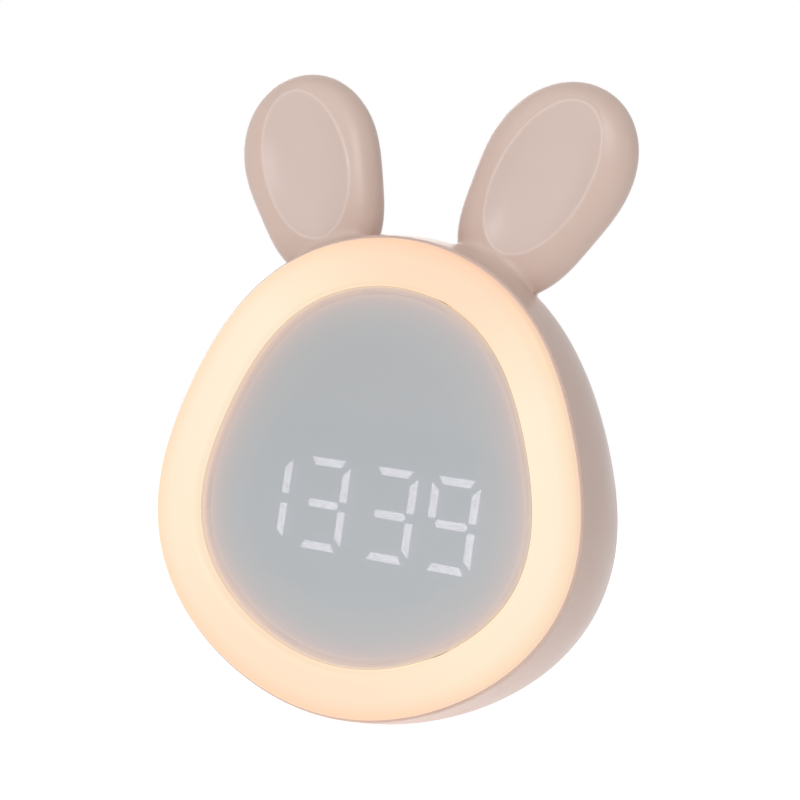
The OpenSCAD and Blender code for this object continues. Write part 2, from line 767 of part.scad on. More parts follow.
module digit_housing() {
    color(WHITE) at_digits() difference() {
        plate(digit_y, board_y - digit_y) square([2 * housing_w, digit_h + 2 * housing_edge], center = true);
        plate(digit_y - 1, bar_deep + 1) bars(1);
        plate(digit_y - 1, bar_deep + 1) bars(0);
        plate(digit_y - 1, bar_deep + 1) colon_dots();
    }
}
module lit_segments() {
    color(GLOW) at_digits() plate(digit_y, bar_deep) bars(1);
}
module unlit_segments() {
    color(STEEL) at_digits() {
        plate(digit_y, bar_deep) bars(0);
        plate(digit_y, bar_deep) colon_dots();
    }
}
module digit_board() {
    color(BOARD) difference() {
        at_digits() plate(board_y, board_t) rounded(digit_board_w, digit_board_h, digit_board_r);
        for_digit_screws() rod(board_y - 1, board_t + 2, clear_d);
    }
}
module digit_screws() {
    color(STEEL) for_digit_screws() translate([0, board_y, 0]) rotate([0, 0, 180]) screw(board_screw_l);
}
module driver_chip() {
    color(DARK) at_digits() translate([driver_chip_x, frame_y, -driver_chip_size[2] / 2]) cube(driver_chip_size);
}

// ---------------------------------------------------------------- main board

module main_board() {
    color(BOARD) at_back() difference() {
        translate([0, 0, (main_low + main_high) / 2])
            plate(-board_deep - board_t, board_t) rounded(main_w, main_high - main_low, 2);
        for (s = main_screws) translate([s[0], 0, s[1]]) rod(-20, 20, clear_d);
    }
}
module main_board_screws() {
    color(STEEL) at_back() for (s = main_screws)
        translate([s[0], -board_deep - board_t, s[1]]) rotate([0, 0, 180]) screw(board_screw_l);
}

// A part on the inner face of the main board, of size w by t by h around x, z
module on_board(x, z, w, t, h) {
    at_back() translate([x - w / 2, -board_deep - board_t - t, z - h / 2]) cube([w, t, h]);
}
module processor_chip() {
    color(DARK) on_board(-6, 20, 10, 1.4, 10);
}
module clock_crystal() {
    color(STEEL) at_back() translate([5, -board_deep - board_t - 1.5, 16]) cylinder(h = 8, d = 3);
}
module capacitors() {
    color(DARK) at_back() for (x = [14, 20]) translate([x, 0, 25]) rod(-board_deep - board_t - 7, 7, 5);
}
module key_switches() {
    body_t = 3;
    color(DARK) at_back() for (k = keys) translate([k[0], -board_deep, k[1]]) {
        translate([-3, 0, -3]) cube([6, body_t, 6]);
        rod(0, board_deep - wall - flange_gap - flange_t - key_travel - stem_gap, 3.2);
    }
}
module buzzer() {
    color(DARK) at_back() translate([buzzer_x, -board_deep, light_key_z]) difference() {
        rod(0, 4.6, 12);
        rod(3, 5, 2);
    }
}
module usb_socket() {
    color(STEEL) at_back() translate([usb_x, -board_deep, light_key_z]) {
        difference() {
            plate(0, usb_len) rounded(usb_w, usb_h, 1.55);
            plate(1, usb_len) rounded(usb_w - 0.7, usb_h - 0.7, 1.2);
        }
        plate(0.5, usb_len - 1.5) square([6.6, 0.7], center = true);
    }
}
module alarm_switch_body() {
    body_t = 3.4;
    color(DARK) at_back() translate([alarm_x, -board_deep, key_row]) difference() {
        plate(0, body_t) square([4.4, switch_travel + 6], center = true);
        plate(body_t - 1.8, 3) square([1.9, switch_travel + 2.1], center = true);
    }
}

// ---------------------------------------------------------------- keys

// A key: a softly domed cap, a flange that stays behind the back, and a flat foot for its switch
module key(k) {
    x = keys[k][0];
    z = keys[k][1];
    d = keys[k][2];
    flange_y = -wall - flange_gap;
    dome = 2 * d;
    at_back() translate([x, 0, z]) {
        intersection() {
            rod(flange_y - 0.1, key_proud - flange_y + 0.1, d);
            translate([0, key_proud - dome, 0]) sphere(r = dome, $fn = 96);
        }
        rod(flange_y - flange_t, flange_t, d + 2 * flange_edge);
    }
}
module mode_button() {
    color(WHITE) key(0);
}
module up_button() {
    color(WHITE) key(1);
}
module down_button() {
    color(WHITE) key(2);
}
module light_button() {
    color(WHITE) key(3);
}

// The alarm switch's knob at its lower end of travel, with two grip ribs
module alarm_switch_knob() {
    flange_y = -wall - flange_gap;
    stem_w = 1.3;
    color(WHITE) at_back() translate([alarm_x, 0, key_row - switch_travel / 2]) {
        plate(flange_y - 0.1, 0.6 - flange_y + 0.1) square([knob_w, knob_len], center = true);
        for (z = [-1, 1]) translate([0, 0, z]) plate(0.5, 0.5) square([knob_w, 0.7], center = true);
        plate(flange_y - flange_t, flange_t)
            square([knob_w + 3.4, knob_len + 2 * switch_travel + 1.6], center = true);
        plate(flange_y - flange_t - 1.8, 1.9) square([stem_w, stem_w], center = true);
    }
}

// ---------------------------------------------------------------- batteries

function cell_z(k) = tray_z + (k - 1) * cell_pitch;
function cell_side(k) = k == 1 ? -1 : 1;
contact_x = tray_half - contact_t;

// A cell whose nub touches the contact on its side of the tray
module cell(k) {
    nub = 1;
    color(STEEL) at_back() translate([0, cell_y, cell_z(k)]) mirror([cell_side(k) < 0 ? 1 : 0, 0, 0])
        translate([contact_x - cell_len, 0, 0]) rotate([0, 90, 0]) {
            cylinder(h = cell_len - nub, d = cell_d);
            cylinder(h = cell_len, d = 3.8);
        }
}
module battery_cell_1() {
    cell(0);
}
module battery_cell_2() {
    cell(1);
}
module battery_cell_3() {
    cell(2);
}

// Coil springs at the flat ends of the cells
module battery_springs() {
    turns = 3;
    steps = 10;
    coil_wire = 0.5;
    room = 2 * contact_x - cell_len - coil_wire;
    color(STEEL) at_back() for (k = [0:2])
        translate([0, cell_y, cell_z(k)]) mirror([cell_side(k) < 0 ? 1 : 0, 0, 0]) rotate([0, 0, -90])
            wire([for (i = [0:turns * steps])
                let (u = i / (turns * steps), r = 3.6 - 1.2 * u)
                [r * sin(360 * i / steps), coil_wire / 2 - contact_x + room * u, r * cos(360 * i / steps)]],
                coil_wire, 6);
}

// Contact plates on both end walls of the tray
module battery_contacts() {
    color(STEEL) at_back() for (k = [0:2], side = [-1, 1])
        translate([side * (tray_half - contact_t / 2), cell_y, cell_z(k)])
            cube([contact_t, contact_w, contact_w], center = true);
}

// ---------------------------------------------------------------- wires

// The ribbon from the digit board to the main board, an S in the plane x = 0
module digit_cable() {
    ribbon_w = 12;
    ribbon_t = 0.8;
    steps = 14;
    from_z = digit_z + 2;
    board_z = main_low + 4;
    to_y = back_mid - (board_deep + board_t) * cos(back_angle) - board_z * sin(back_angle) - 0.2;
    to_z = board_z * cos(back_angle) - (board_deep + board_t) * sin(back_angle);
    s = [for (i = [0:steps]) let (u = i / steps)
        [frame_y + u * (to_y - frame_y), from_z + (to_z - from_z) * (1 - cos(180 * u)) / 2]];
    color(WHITE) at_face() translate([-12 - ribbon_w / 2, 0, 0]) rotate([90, 0, 90]) linear_extrude(ribbon_w)
        polygon(concat([for (p = s) p + [0, ribbon_t / 2]], [for (i = [steps:-1:0]) s[i] - [0, ribbon_t / 2]]));
}

// Two wires from the ring board, through the frame and up to the main board
module ring_leads() {
    low = lobe_point(BODY, 180, lead_off)[1];
    for (x = [-1, 1]) color(x < 0 ? "firebrick" : DARK) at_face()
        wire(curve([[x, frame_y + stem_gap, low], [x, frame_y + 4, low], [x, 21, low + 4], [x * 2, 23, low + 14],
            [x * 2, 23, -20], [x * 2, 23, -8], [x * 3, 26, 0], [x * 3, 29.6, 5]], 4), wire_d);
}

// Two wires from the tray's end wall to the main board
module battery_leads() {
    top = tray_z + tray_h / 2 + tray_wall;
    for (x = [-24, -21]) color(x < -22 ? "firebrick" : DARK) at_back()
        wire(curve([[x, -9, top + 0.1], [x, -9.6, top + 2], [x, -13, top + 5], [x, -13, top + 9],
            [x, -11, top + 11], [x, -board_deep - board_t - 0.1, top + 11.4]], 4), wire_d);
}

case_shell();
ear_back_left();
ear_back_right();
ear_screws();
rear_cover();
cover_screws();
rubber_foot();
light_ring();
display_lens();
lens_tape();
light_frame();
frame_screws();
ring_board();
ring_leds();
digit_housing();
lit_segments();
unlit_segments();
digit_board();
digit_screws();
driver_chip();
main_board();
main_board_screws();
processor_chip();
clock_crystal();
capacitors();
key_switches();
alarm_switch_body();
usb_socket();
buzzer();
mode_button();
up_button();
down_button();
light_button();
alarm_switch_knob();
battery_door();
door_screws();
battery_cell_1();
battery_cell_2();
battery_cell_3();
battery_springs();
battery_contacts();
digit_cable();
ring_leads();
battery_leads();
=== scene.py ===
"""Kids alarm clock with a night light ring, two dished ears and digits behind a half mirror.

Shapes are worked out in millimetres in the face's frame: x to the right, y to the back from the display
plane, z up from the middle of the outline. They are moved into the clock's own frame, in metres, as each
piece is made.
"""
import json
import math

import bmesh
import bpy
import numpy as np
from mathutils import Matrix, Vector


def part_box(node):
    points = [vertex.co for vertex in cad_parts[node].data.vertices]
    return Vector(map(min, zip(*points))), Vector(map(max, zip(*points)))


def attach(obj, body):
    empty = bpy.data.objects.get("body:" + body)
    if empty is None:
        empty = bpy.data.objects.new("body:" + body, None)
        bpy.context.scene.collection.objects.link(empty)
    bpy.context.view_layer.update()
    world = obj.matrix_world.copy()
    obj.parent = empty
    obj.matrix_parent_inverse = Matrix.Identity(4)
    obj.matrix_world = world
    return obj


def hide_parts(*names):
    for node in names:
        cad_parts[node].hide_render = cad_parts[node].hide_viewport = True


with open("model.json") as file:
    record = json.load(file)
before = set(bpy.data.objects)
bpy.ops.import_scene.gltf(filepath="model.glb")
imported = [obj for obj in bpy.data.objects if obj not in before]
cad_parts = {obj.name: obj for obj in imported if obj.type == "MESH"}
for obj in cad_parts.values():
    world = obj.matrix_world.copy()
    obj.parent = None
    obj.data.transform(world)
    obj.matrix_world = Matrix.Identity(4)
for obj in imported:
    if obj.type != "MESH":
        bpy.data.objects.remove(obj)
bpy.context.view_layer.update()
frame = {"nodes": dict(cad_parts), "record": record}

MM = 0.001

# ---------------------------------------------------------------- sizes, in millimetres

# Outlines are lobes: a mean radius plus cosines of one to five times the angle from the top
BODY_H, BODY_W = 120.3, 112.8
BODY = ((BODY_H + BODY_W) / 4, 1.05, (BODY_H - BODY_W) / 4, 1.76, 0, -0.49)
EAR_LEN, EAR_W, EAR_SWELL, EAR_SQUARE = 59.2, 37.9, 3.3, 0.2
EAR = ((EAR_LEN + EAR_W) / 4 - EAR_SQUARE, EAR_SWELL, (EAR_LEN - EAR_W) / 4, 0, EAR_SQUARE, 0)
DISH_LEN, DISH_W, DISH_DEEP, DISH_UP = 42.4, 24, 3, 5.5
# Power of the dish's hollow, the radius of its rim, and the fine bead on the rim
DISH_BOWL, DISH_RIM = 2.6, 0.3
BEAD_HIGH, BEAD_WIDE = 0.15, 0.42

# The dressed skin of casing and ears lies this far inside the plain solids' outline
SKIN_IN = 0.14
# Widths of the blends between the casing's forms
ROOT_BLEND_FRONT, ROOT_BLEND_SIDE, LIP_ROUND = 6, 0.8, 0.6
# Sides of the cells of the casing's and the ear covers' nets, and the bands that are split at a dish's rim
CASING_CELL, EAR_COVER_CELL, RIM_BANDS = 0.77, 0.55, (1.6, 0.8)

# Casing: its side wall leans out and bulges between the front edge and the rear cover's seam
WALL = 2.2
SIDE_DEPTH = 34.8
CASE_FRONT = -0.8
FRONT_STEP = 0.8
SIDE_DRAFT = 1.7
SIDE_BULGE = 2.77
TOP_DROP = 1.2
BACK_SLOPE = 0.2
BACK_ROUND = 7
BASE_CUT = 1.6
SEAM = 0.1
LIP_LEN, LIP_T = 3, 1.4
SIDE_END = CASE_FRONT + SIDE_DEPTH
BACK_MID = SIDE_END + BACK_ROUND
BACK_ANGLE = math.atan(BACK_SLOPE)
BACK_NORMAL = Vector((0, math.cos(BACK_ANGLE), math.sin(BACK_ANGLE)))

# The foot under the flat base
FOOT_W, FOOT_LEN, FOOT_ROUND, FOOT_H, FOOT_PROUD, FOOT_GAP = 18.4, 24, 6, 1.2, 0.4, 0.1

# Ears: where they stand, how far they lean, and their thickness before and behind their widest section
EAR_X, EAR_Z, EAR_SPLAY = 30.8, 77.4, math.radians(23.4)
EAR_Y, EAR_FRONT, EAR_BACK, EAR_ROUND, EAR_PART = 15, 6.8, 7.3, 10, 5
EAR_GAP = 0.2

# Light ring and mirror plate
RING_W, RING_CROWN, RING_SQUARE = 11.8, 3.2, 2.6
SKIRT_T, SKIRT_DEEP, RING_GAP = 1.5, 7, 0.2
LENS_Y, LENS_T, LENS_GAP = 0.25, 2, 0.15

# On the back, in its own frame. Keys: (x, z, diameter)
KEY_D, LIGHT_KEY_D, KEY_GAP, KEY_PROUD = 9, 15, 0.3, 0.9
KEYS = {"mode_button": (-21, 12, KEY_D), "up_button": (-8, 12, KEY_D), "down_button": (5, 12, KEY_D),
        "light_button": (0, 26.5, LIGHT_KEY_D)}
FLANGE_T, FLANGE_GAP, FLANGE_EDGE = 0.9, 0.1, 1.3
SWITCH_X, SWITCH_Z, SWITCH_TRAVEL = 21, 12, 3
KNOB_W, KNOB_LEN, KNOB_GAP = 2.8, 3.4, 0.3
BUZZER_X, USB_X, UPPER_ROW_Z = -19.5, 19.5, 26.5
SLOT_W, SLOT_H, SLOT_PITCH, SLOTS = 10, 1.2, 2.6, 5
USB_W, USB_H, USB_ROUND = 9.8, 4.0, 1.9
# Holes in the back are cut this deep, and their mouths are rounded by so much
HOLE_DEEP, KEY_MOUTH, SLOT_MOUTH, USB_MOUTH, DOOR_MOUTH = 4, 0.35, 0.25, 0.4, 0.3

# Battery cells, their tray and its door, with the room at the cells' ends, sides and under the door
CELL_D, CELL_LEN, CELL_PITCH = 10.5, 44.5, 11.2
END_ROOM, SIDE_ROOM, DOOR_ROOM = 2.35, 1.1, 0.7
DOOR_T, DOOR_GAP, DOOR_SEAT, DOOR_ROUND = 2, 0.3, 2.4, 7
TRAY_Z, TRAY_WALL = -24.5, 1.6
TRAY_HALF = CELL_LEN / 2 + END_ROOM
TRAY_H = 2 * CELL_PITCH + CELL_D + SIDE_ROOM
CELL_Y = -(DOOR_T + DOOR_ROOM + CELL_D / 2)
TRAY_DEEP = DOOR_T + DOOR_ROOM + CELL_D + 0.2
DOOR_W = 2 * (TRAY_HALF + TRAY_WALL) + 4
DOOR_H = TRAY_H + 8
LOBE_D, LOBE_Z = 10, DOOR_H / 2 + 1
DOOR_LEDGE, DOOR_SCREW_DEEP = 2.5, 0.8
DOOR_SCREWS_Z = (TRAY_Z - LOBE_Z, TRAY_Z + LOBE_Z)

# Screws, their counterbores and their posts
SCREW_D, HEAD_D, HEAD_H, HEAD_GAP, HEAD_SUNK = 2.2, 4.2, 1.6, 0.6, 0.3
HEAD_HOLE_R = (HEAD_D + HEAD_GAP) / 2
EAR_SCREW_Y = EAR_Y + EAR_BACK - HEAD_H - HEAD_SUNK
COVER_SCREW_ANGLES = (52, 128, 232, 308)
COVER_SCREW_OFF, COVER_SEAT, COVER_POST_D, COVER_POST_L = -7, 4, 9, 7

# Points round an outline, the smallest radius of a corner, and the creases kept in the back, in degrees
OUTLINE_STEPS, FINEST, BACK_CREASE = 360, 0.02, 28


def lobe_radius(lobe, a):
    """Radius of a lobe at an angle from the top."""
    return sum(c * np.cos(k * a) for k, c in enumerate(lobe))


def lobe_slope(lobe, a):
    """Change of a lobe's radius with the angle."""
    return -sum(k * c * np.sin(k * a) for k, c in enumerate(lobe))


def lobe_point(lobe, a):
    """Point (x, z) of a lobe at an angle, followed by the direction (x, z) along the lobe there."""
    r, d = lobe_radius(lobe, a), lobe_slope(lobe, a)
    return r * np.sin(a), r * np.cos(a), d * np.sin(a) + r * np.cos(a), d * np.cos(a) - r * np.sin(a)


def outline(lobe, off, steps=OUTLINE_STEPS, angles=None):
    """Points (x, z) of a lobe moved outwards by off, all round it or at the angles given."""
    a = np.linspace(0, 2 * math.pi, steps, endpoint=False) if angles is None else np.radians(angles)
    x, z, dx, dz = lobe_point(lobe, a)
    length = np.hypot(dx, dz)
    return np.stack([x - off * dz / length, z + off * dx / length], 1)


def side_off(t):
    """How far the side wall stands outside the outline, t of the way from front to back."""
    return FRONT_STEP + SIDE_DRAFT * t + SIDE_BULGE * np.sin(math.pi * t)


def back_y(z):
    """Depth of the flat back at a height."""
    return BACK_MID - BACK_SLOPE * z


FOOT_R = float(lobe_radius(BODY, math.pi))
BASE_Z = -(FOOT_R + float(side_off(0.62)) - BASE_CUT)
FLOOR_Z = BASE_Z - FOOT_PROUD
RECESS_Z = BASE_Z + FOOT_H - FOOT_PROUD
CAVITY_Z = BASE_Z + WALL + FOOT_H - FOOT_PROUD
FLAT_OFF = float(side_off(1)) - BACK_ROUND
EAR_JOINT = EAR_Y + EAR_PART
COVER_SCREWS = outline(BODY, COVER_SCREW_OFF, angles=COVER_SCREW_ANGLES)

# The face's frame in the clock's, from where the mirror plate and the light ring lie
foot_mid_y = (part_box("rubber_foot")[0].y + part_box("rubber_foot")[1].y) / 2
FACE = np.array([0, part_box("display_lens")[0].y / MM - LENS_Y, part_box("light_ring")[0].z / MM + FOOT_R])
FOOT_Y = foot_mid_y / MM - FACE[1]


# ---------------------------------------------------------------- pieces from points

def from_back(points):
    """Points of the back's frame (y out of the back, z up along it) in the face's frame."""
    p = np.asarray(points, float)
    c, s = math.cos(BACK_ANGLE), math.sin(BACK_ANGLE)
    return np.stack([p[:, 0], BACK_MID + p[:, 1] * c - p[:, 2] * s, p[:, 1] * s + p[:, 2] * c], 1)


def bare_mesh(name, points, faces):
    """A mesh from points in metres, its faces outwards."""
    mesh = bpy.data.meshes.new(name)
    mesh.from_pydata(np.asarray(points, float).tolist(), [], [list(f) for f in faces])
    work = bmesh.new()
    work.from_mesh(mesh)
    bmesh.ops.recalc_face_normals(work, faces=work.faces)
    work.to_mesh(mesh)
    work.free()
    return mesh


def make_mesh(name, points, faces, crease=35):
    """A mesh in the clock's frame from points in the face's, smooth except at its creases."""
    mesh = bare_mesh(name, (np.asarray(points, float) + FACE) * MM, faces)
    mesh.shade_smooth()
    mesh.set_sharp_from_angle(angle=math.radians(crease))
    return mesh


def keep_values(mesh, **values):
    """Keeps numbers on a mesh's points, under their names, for its finish to read."""
    for name, numbers in values.items():
        layer = mesh.attributes.new(name, "FLOAT", "POINT")
        layer.data.foreach_set("value", numbers.astype(np.float32))


def add_piece(name, mesh, slot, node, body="root"):
    """A shown piece that stands for a node, in the finish of its slot, and moves with body."""
    piece = bare_object(name, mesh)
    mesh.materials.clear()
    mesh.materials.append(FINISHES[slot])
    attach(piece, body)
    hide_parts(node)


def bare_object(name, data):
    """An object in the scene that holds a mesh, a lamp or a camera."""
    thing = bpy.data.objects.new(name, data)
    bpy.context.scene.collection.objects.link(thing)
    return thing


def plain_mesh(thing):
    """An object's mesh with its modifiers applied."""
    return bpy.data.meshes.new_from_object(thing.evaluated_get(bpy.context.evaluated_depsgraph_get()))


def loft(loops, closed=False):
    """Points and faces through loops of as many points each, with caps unless closed."""
    n, m = len(loops[0]), len(loops)
    points = np.concatenate(loops)
    faces = []
    for j in range(m if closed else m - 1):
        for i in range(n):
            k, after = (j + 1) % m, (i + 1) % n
            faces.append((j * n + i, k * n + i, k * n + after, j * n + after))
    if not closed:
        faces.append(tuple(range(n)))
        faces.append(tuple(range((m - 1) * n, m * n)))
    return points, faces


def stack(shape, levels):
    """Loops of a flat shape: shape(off) gives (x, z) points, and levels are (off, y)."""
    loops = []
    for off, y in levels:
        p = shape(off)
        loops.append(np.stack([p[:, 0], np.full(len(p), float(y)), p[:, 1]], 1))
    return loops


def soft_edges(low, high, low_round, high_round, steps=5):
    """Levels (off, y) of a plate from depth low to high whose two rims are rounded."""
    turn = np.linspace(0, math.pi / 2, steps)
    first, last = [(0, low)], [(0, high)]
    if low_round:
        first = [(-low_round * (1 - math.sin(g)), low + low_round * (1 - math.cos(g))) for g in turn]
    if high_round:
        last = [(-high_round * (1 - math.cos(g)), high - high_round * (1 - math.sin(g))) for g in turn]
    return first + last


def ring_shape(radius, x, z, steps=72):
    """A circle as a shape for stack()."""
    a = np.linspace(0, 2 * math.pi, steps, endpoint=False)
    return lambda off: np.stack([x + (radius + off) * np.sin(a), z + (radius + off) * np.cos(a)], 1)


def box_shape(w, h, r, x, z, steps=9):
    """A rectangle with rounded corners as a shape for stack()."""
    def points(off):
        corner = max(r + off, FINEST)
        out = []
        for k, (sx, sz) in enumerate(((1, 1), (1, -1), (-1, -1), (-1, 1))):
            for g in np.linspace(0, math.pi / 2, steps):
                a = k * math.pi / 2 + g
                out.append((x + sx * (w / 2 - r) + corner * math.sin(a),
                            z + sz * (h / 2 - r) + corner * math.cos(a)))
        return np.array(out)
    return points


def slot_shape(w, h, x, z):
    """A slot with half round ends as a shape for stack()."""
    def points(off):
        turn = np.linspace(0, math.pi, 13)
        end = np.stack([(w - h) / 2 + (h / 2 + off) * np.sin(turn), (h / 2 + off) * np.cos(turn)], 1)
        return np.concatenate([end, -end]) + (x, z)
    return points


def door_shape(off):
    """The battery door's outline: a rounded rectangle with a screw lobe above and below."""
    half_w, half_h, r, lobe = DOOR_W / 2 + off, DOOR_H / 2 + off, DOOR_ROUND + off, LOBE_D / 2 + off
    reach = math.asin(min((LOBE_Z - half_h) / lobe, 1)) if lobe > 0 else 0
    quarter = []
    for g in np.linspace(0, math.pi / 2 + reach, 14):
        quarter.append((lobe * math.sin(g), LOBE_Z + lobe * math.cos(g)))
    for g in np.linspace(0, math.pi / 2, 12):
        quarter.append((half_w - r + r * math.sin(g), half_h - r + r * math.cos(g)))
    quarter = np.array(quarter)
    right = np.concatenate([quarter, quarter[::-1][:-1] * (1, -1)])
    return np.concatenate([right, right[::-1][1:-1] * (-1, 1)]) + (0, TRAY_Z)


def combine(parts):
    """Several (points, faces) as one."""
    points, faces, count = [], [], 0
    for p, f in parts:
        points.append(p)
        faces += [tuple(count + i for i in face) for face in f]
        count += len(p)
    return np.concatenate(points), faces


def carve(mesh, steps):
    """Adds solids to a mesh or cuts them from it: steps are ("UNION" or "DIFFERENCE", mesh)."""
    body = bare_object("blank", mesh)
    for operation, other in steps:
        tool = bare_object("tool", other)
        change = body.modifiers.new("carve", "BOOLEAN")
        change.operation, change.solver, change.object = operation, "MANIFOLD", tool
        done = plain_mesh(body)
        body.modifiers.remove(change)
        bpy.data.objects.remove(tool)
        body.data = done
    result = body.data
    bpy.data.objects.remove(body)
    return result


def flat_shaded(mesh, crease, flat=None):
    """Smooth shading in which large flat faces stay flat, wholly so where they face the way of flat."""
    mesh.shade_smooth()
    mesh.set_sharp_from_angle(angle=math.radians(crease))
    holder = bare_object("holder", mesh)
    weigh = holder.modifiers.new("weigh", "WEIGHTED_NORMAL")
    weigh.keep_sharp = True
    done = plain_mesh(holder)
    bpy.data.objects.remove(holder)
    if flat is not None:
        normals = [tuple(corner.vector) for corner in done.corner_normals]
        for face in done.polygons:
            if face.normal.dot(flat) > 0.9999:
                for corner in face.loop_indices:
                    normals[corner] = tuple(face.normal)
        done.normals_split_custom_set(normals)
    return done


# ---------------------------------------------------------------- skins of blended solids

def soft_min(a, b, k):
    """The union of two fields, with a fillet of width k."""
    return np.minimum(a, b) - np.maximum(k - np.abs(a - b), 0) ** 2 / (4 * k)


def soft_max(a, b, k):
    """What two fields share, with an edge rounded by k."""
    return -soft_min(-a, -b, k)


def skin_points(field, low, high, cell):
    """Net of points, a quad mesh, on the surface where field is zero: the inside is negative."""
    axes = [np.arange(lo, hi + cell, cell) for lo, hi in zip(low, high)]
    value = np.stack([field(x, *np.meshgrid(axes[1], axes[2], indexing="ij")) for x in axes[0]])
    inside = value < 0
    shape = tuple(n - 1 for n in value.shape)
    corner = {d: tuple(slice(k, n + k) for k, n in zip(d, shape)) for d in np.ndindex(2, 2, 2)}
    count = sum(inside[c].astype(int) for c in corner.values())
    crossed = (count > 0) & (count < 8)
    number = np.full(shape, -1)
    number[crossed] = np.arange(crossed.sum())
    base = np.stack(np.nonzero(crossed), 1)
    total, hits = np.zeros((len(base), 3)), np.zeros(len(base))
    for a in corner:
        for axis in range(3):
            if a[axis]:
                continue
            b = tuple(1 if k == axis else v for k, v in enumerate(a))
            va, vb = value[corner[a]][crossed], value[corner[b]][crossed]
            cut = (va < 0) != (vb < 0)
            share = np.where(cut, va / np.where(cut, va - vb, 1), 0)
            spot = base + np.array(a, float)
            spot[:, axis] += share
            total[cut] += spot[cut]
            hits[cut] += 1
    points = np.array(low) + cell * total / hits[:, None]
    faces = []
    for axis in range(3):
        u, v = (axis + 1) % 3, (axis + 2) % 3
        here = [slice(1, -1)] * 3
        here[axis] = slice(0, -1)
        there = list(here)
        there[axis] = slice(1, None)
        start, end = inside[tuple(here)], inside[tuple(there)]
        spots = np.stack(np.nonzero(start != end), 1) + np.array([0 if k == axis else 1 for k in range(3)])
        flip = end[start != end]
        quad = []
        for du, dv in ((0, 0), (-1, 0), (-1, -1), (0, -1)):
            s = spots.copy()
            s[:, u] += du
            s[:, v] += dv
            quad.append(number[tuple(s.T)])
        quad = np.stack(quad, 1)
        quad[flip] = quad[flip][:, ::-1]
        faces.append(quad)
    return points, np.concatenate(faces)


def settle(points, field, times, reach):
    """Moves points onto the surface where field is zero."""
    step = 0.01
    for _ in range(times):
        value = field(*points.T)
        slope = np.stack([(field(*(points + step * axis).T) - value) / step for axis in np.eye(3)], 1)
        move = value[:, None] * slope / np.maximum((slope ** 2).sum(1), 0.05)[:, None]
        length = np.linalg.norm(move, axis=1, keepdims=True)
        points = points - move * np.minimum(1, reach / np.maximum(length, 1e-9))
    return points


def even_out(points, faces):
    """Moves each point half of the way to the mean of its neighbours."""
    ends = np.concatenate([np.stack([faces[:, k], faces[:, (k + 1) % 4]], 1) for k in range(4)])
    count = np.bincount(ends[:, 0], minlength=len(points))
    mean = np.stack([np.bincount(ends[:, 0], points[ends[:, 1], k], len(points)) for k in range(3)], 1)
    return points + 0.5 * (mean / count[:, None] - points)


def skin(field, low, high, cell):
    """An evenly spaced net of points on a field's surface."""
    points, faces = skin_points(field, low, high, cell)
    points = settle(points, field, 3, cell)
    for _ in range(3):
        points = settle(even_out(points, faces), field, 2, cell)
    return settle(points, field, 2, cell), faces


def refine(points, faces, field, near, bands, cell):
    """Splits the faces of a skin in ever narrower bands, where near(x, y, z) is below each band's width."""
    work = bmesh.new()
    corners = [work.verts.new(p) for p in points]
    for face in faces:
        work.faces.new([corners[i] for i in face])
    for band in bands:
        work.verts.index_update()
        place = np.array([v.co for v in work.verts])
        inside = near(*place.T) < band
        chosen = [e for e in work.edges if inside[e.verts[0].index] and inside[e.verts[1].index]]
        bmesh.ops.subdivide_edges(work, edges=chosen, cuts=1, use_grid_fill=True)
        place = settle(np.array([v.co for v in work.verts]), field, 3, cell)
        for v, spot in zip(work.verts, place):
            v.co = spot
    work.verts.index_update()
    faces = [tuple(v.index for v in face.verts) for face in work.faces]
    work.free()
    return place, faces


# ---------------------------------------------------------------- casing and ears as fields

def body_distance(x, z):
    """Distance of a point to the body's outline."""
    a, r = np.arctan2(x, z), np.hypot(x, z)
    mean = lobe_radius(BODY, a)
    return (r - mean) / np.sqrt(1 + (lobe_slope(BODY, a) / mean) ** 2)


def side_place(y, z):
    """How far along the side wall a point lies, 0 at the front and 1 at the rear cover."""
    return np.clip((y - CASE_FRONT) / (SIDE_DEPTH - BACK_SLOPE * z), 0, 1)


def wall_distance(x, z, t):
    """Distance to the outline, which the side wall lowers towards the top between its two edges."""
    top = (1 + z / np.maximum(np.hypot(x, z), 1)) / 2
    return body_distance(x, z) + TOP_DROP * np.sin(math.pi * t) * top ** 2


def envelope(x, y, z):
    """Outside of the casing's side wall and of the rear cover's rounded edge."""
    t = side_place(y, z)
    lean = (SIDE_DRAFT + SIDE_BULGE * math.pi * np.cos(math.pi * t)) / SIDE_DEPTH
    out = wall_distance(x, z, t)
    wall = (out - side_off(t)) / np.sqrt(1 + lean ** 2)
    past = (y + BACK_SLOPE * z - SIDE_END) / BACK_ROUND
    turn = np.hypot(np.maximum(out - FLAT_OFF, 0) / BACK_ROUND, past) - 1
    return np.where(past <= 0, wall, turn * BACK_ROUND) + SKIN_IN


def ear_frame(x, z):
    """A point in the frame of the ear on its side."""
    dx, dz = np.abs(x) - EAR_X, z - EAR_Z
    c, s = math.cos(EAR_SPLAY), math.sin(EAR_SPLAY)
    return dx * c - dz * s, dx * s + dz * c


def ear_distance(u, v):
    """Signed distance of a point of the ear's frame to the ear's outline."""
    a = np.arctan2(u, v)
    for _ in range(2):
        x, z, dx, dz = lobe_point(EAR, a)
        a = a + np.clip(((u - x) * dx + (v - z) * dz) / (dx ** 2 + dz ** 2), -0.3, 0.3)
    x, z, dx, dz = lobe_point(EAR, a)
    return ((u - x) * -dz + (v - z) * dx) / np.hypot(dx, dz)


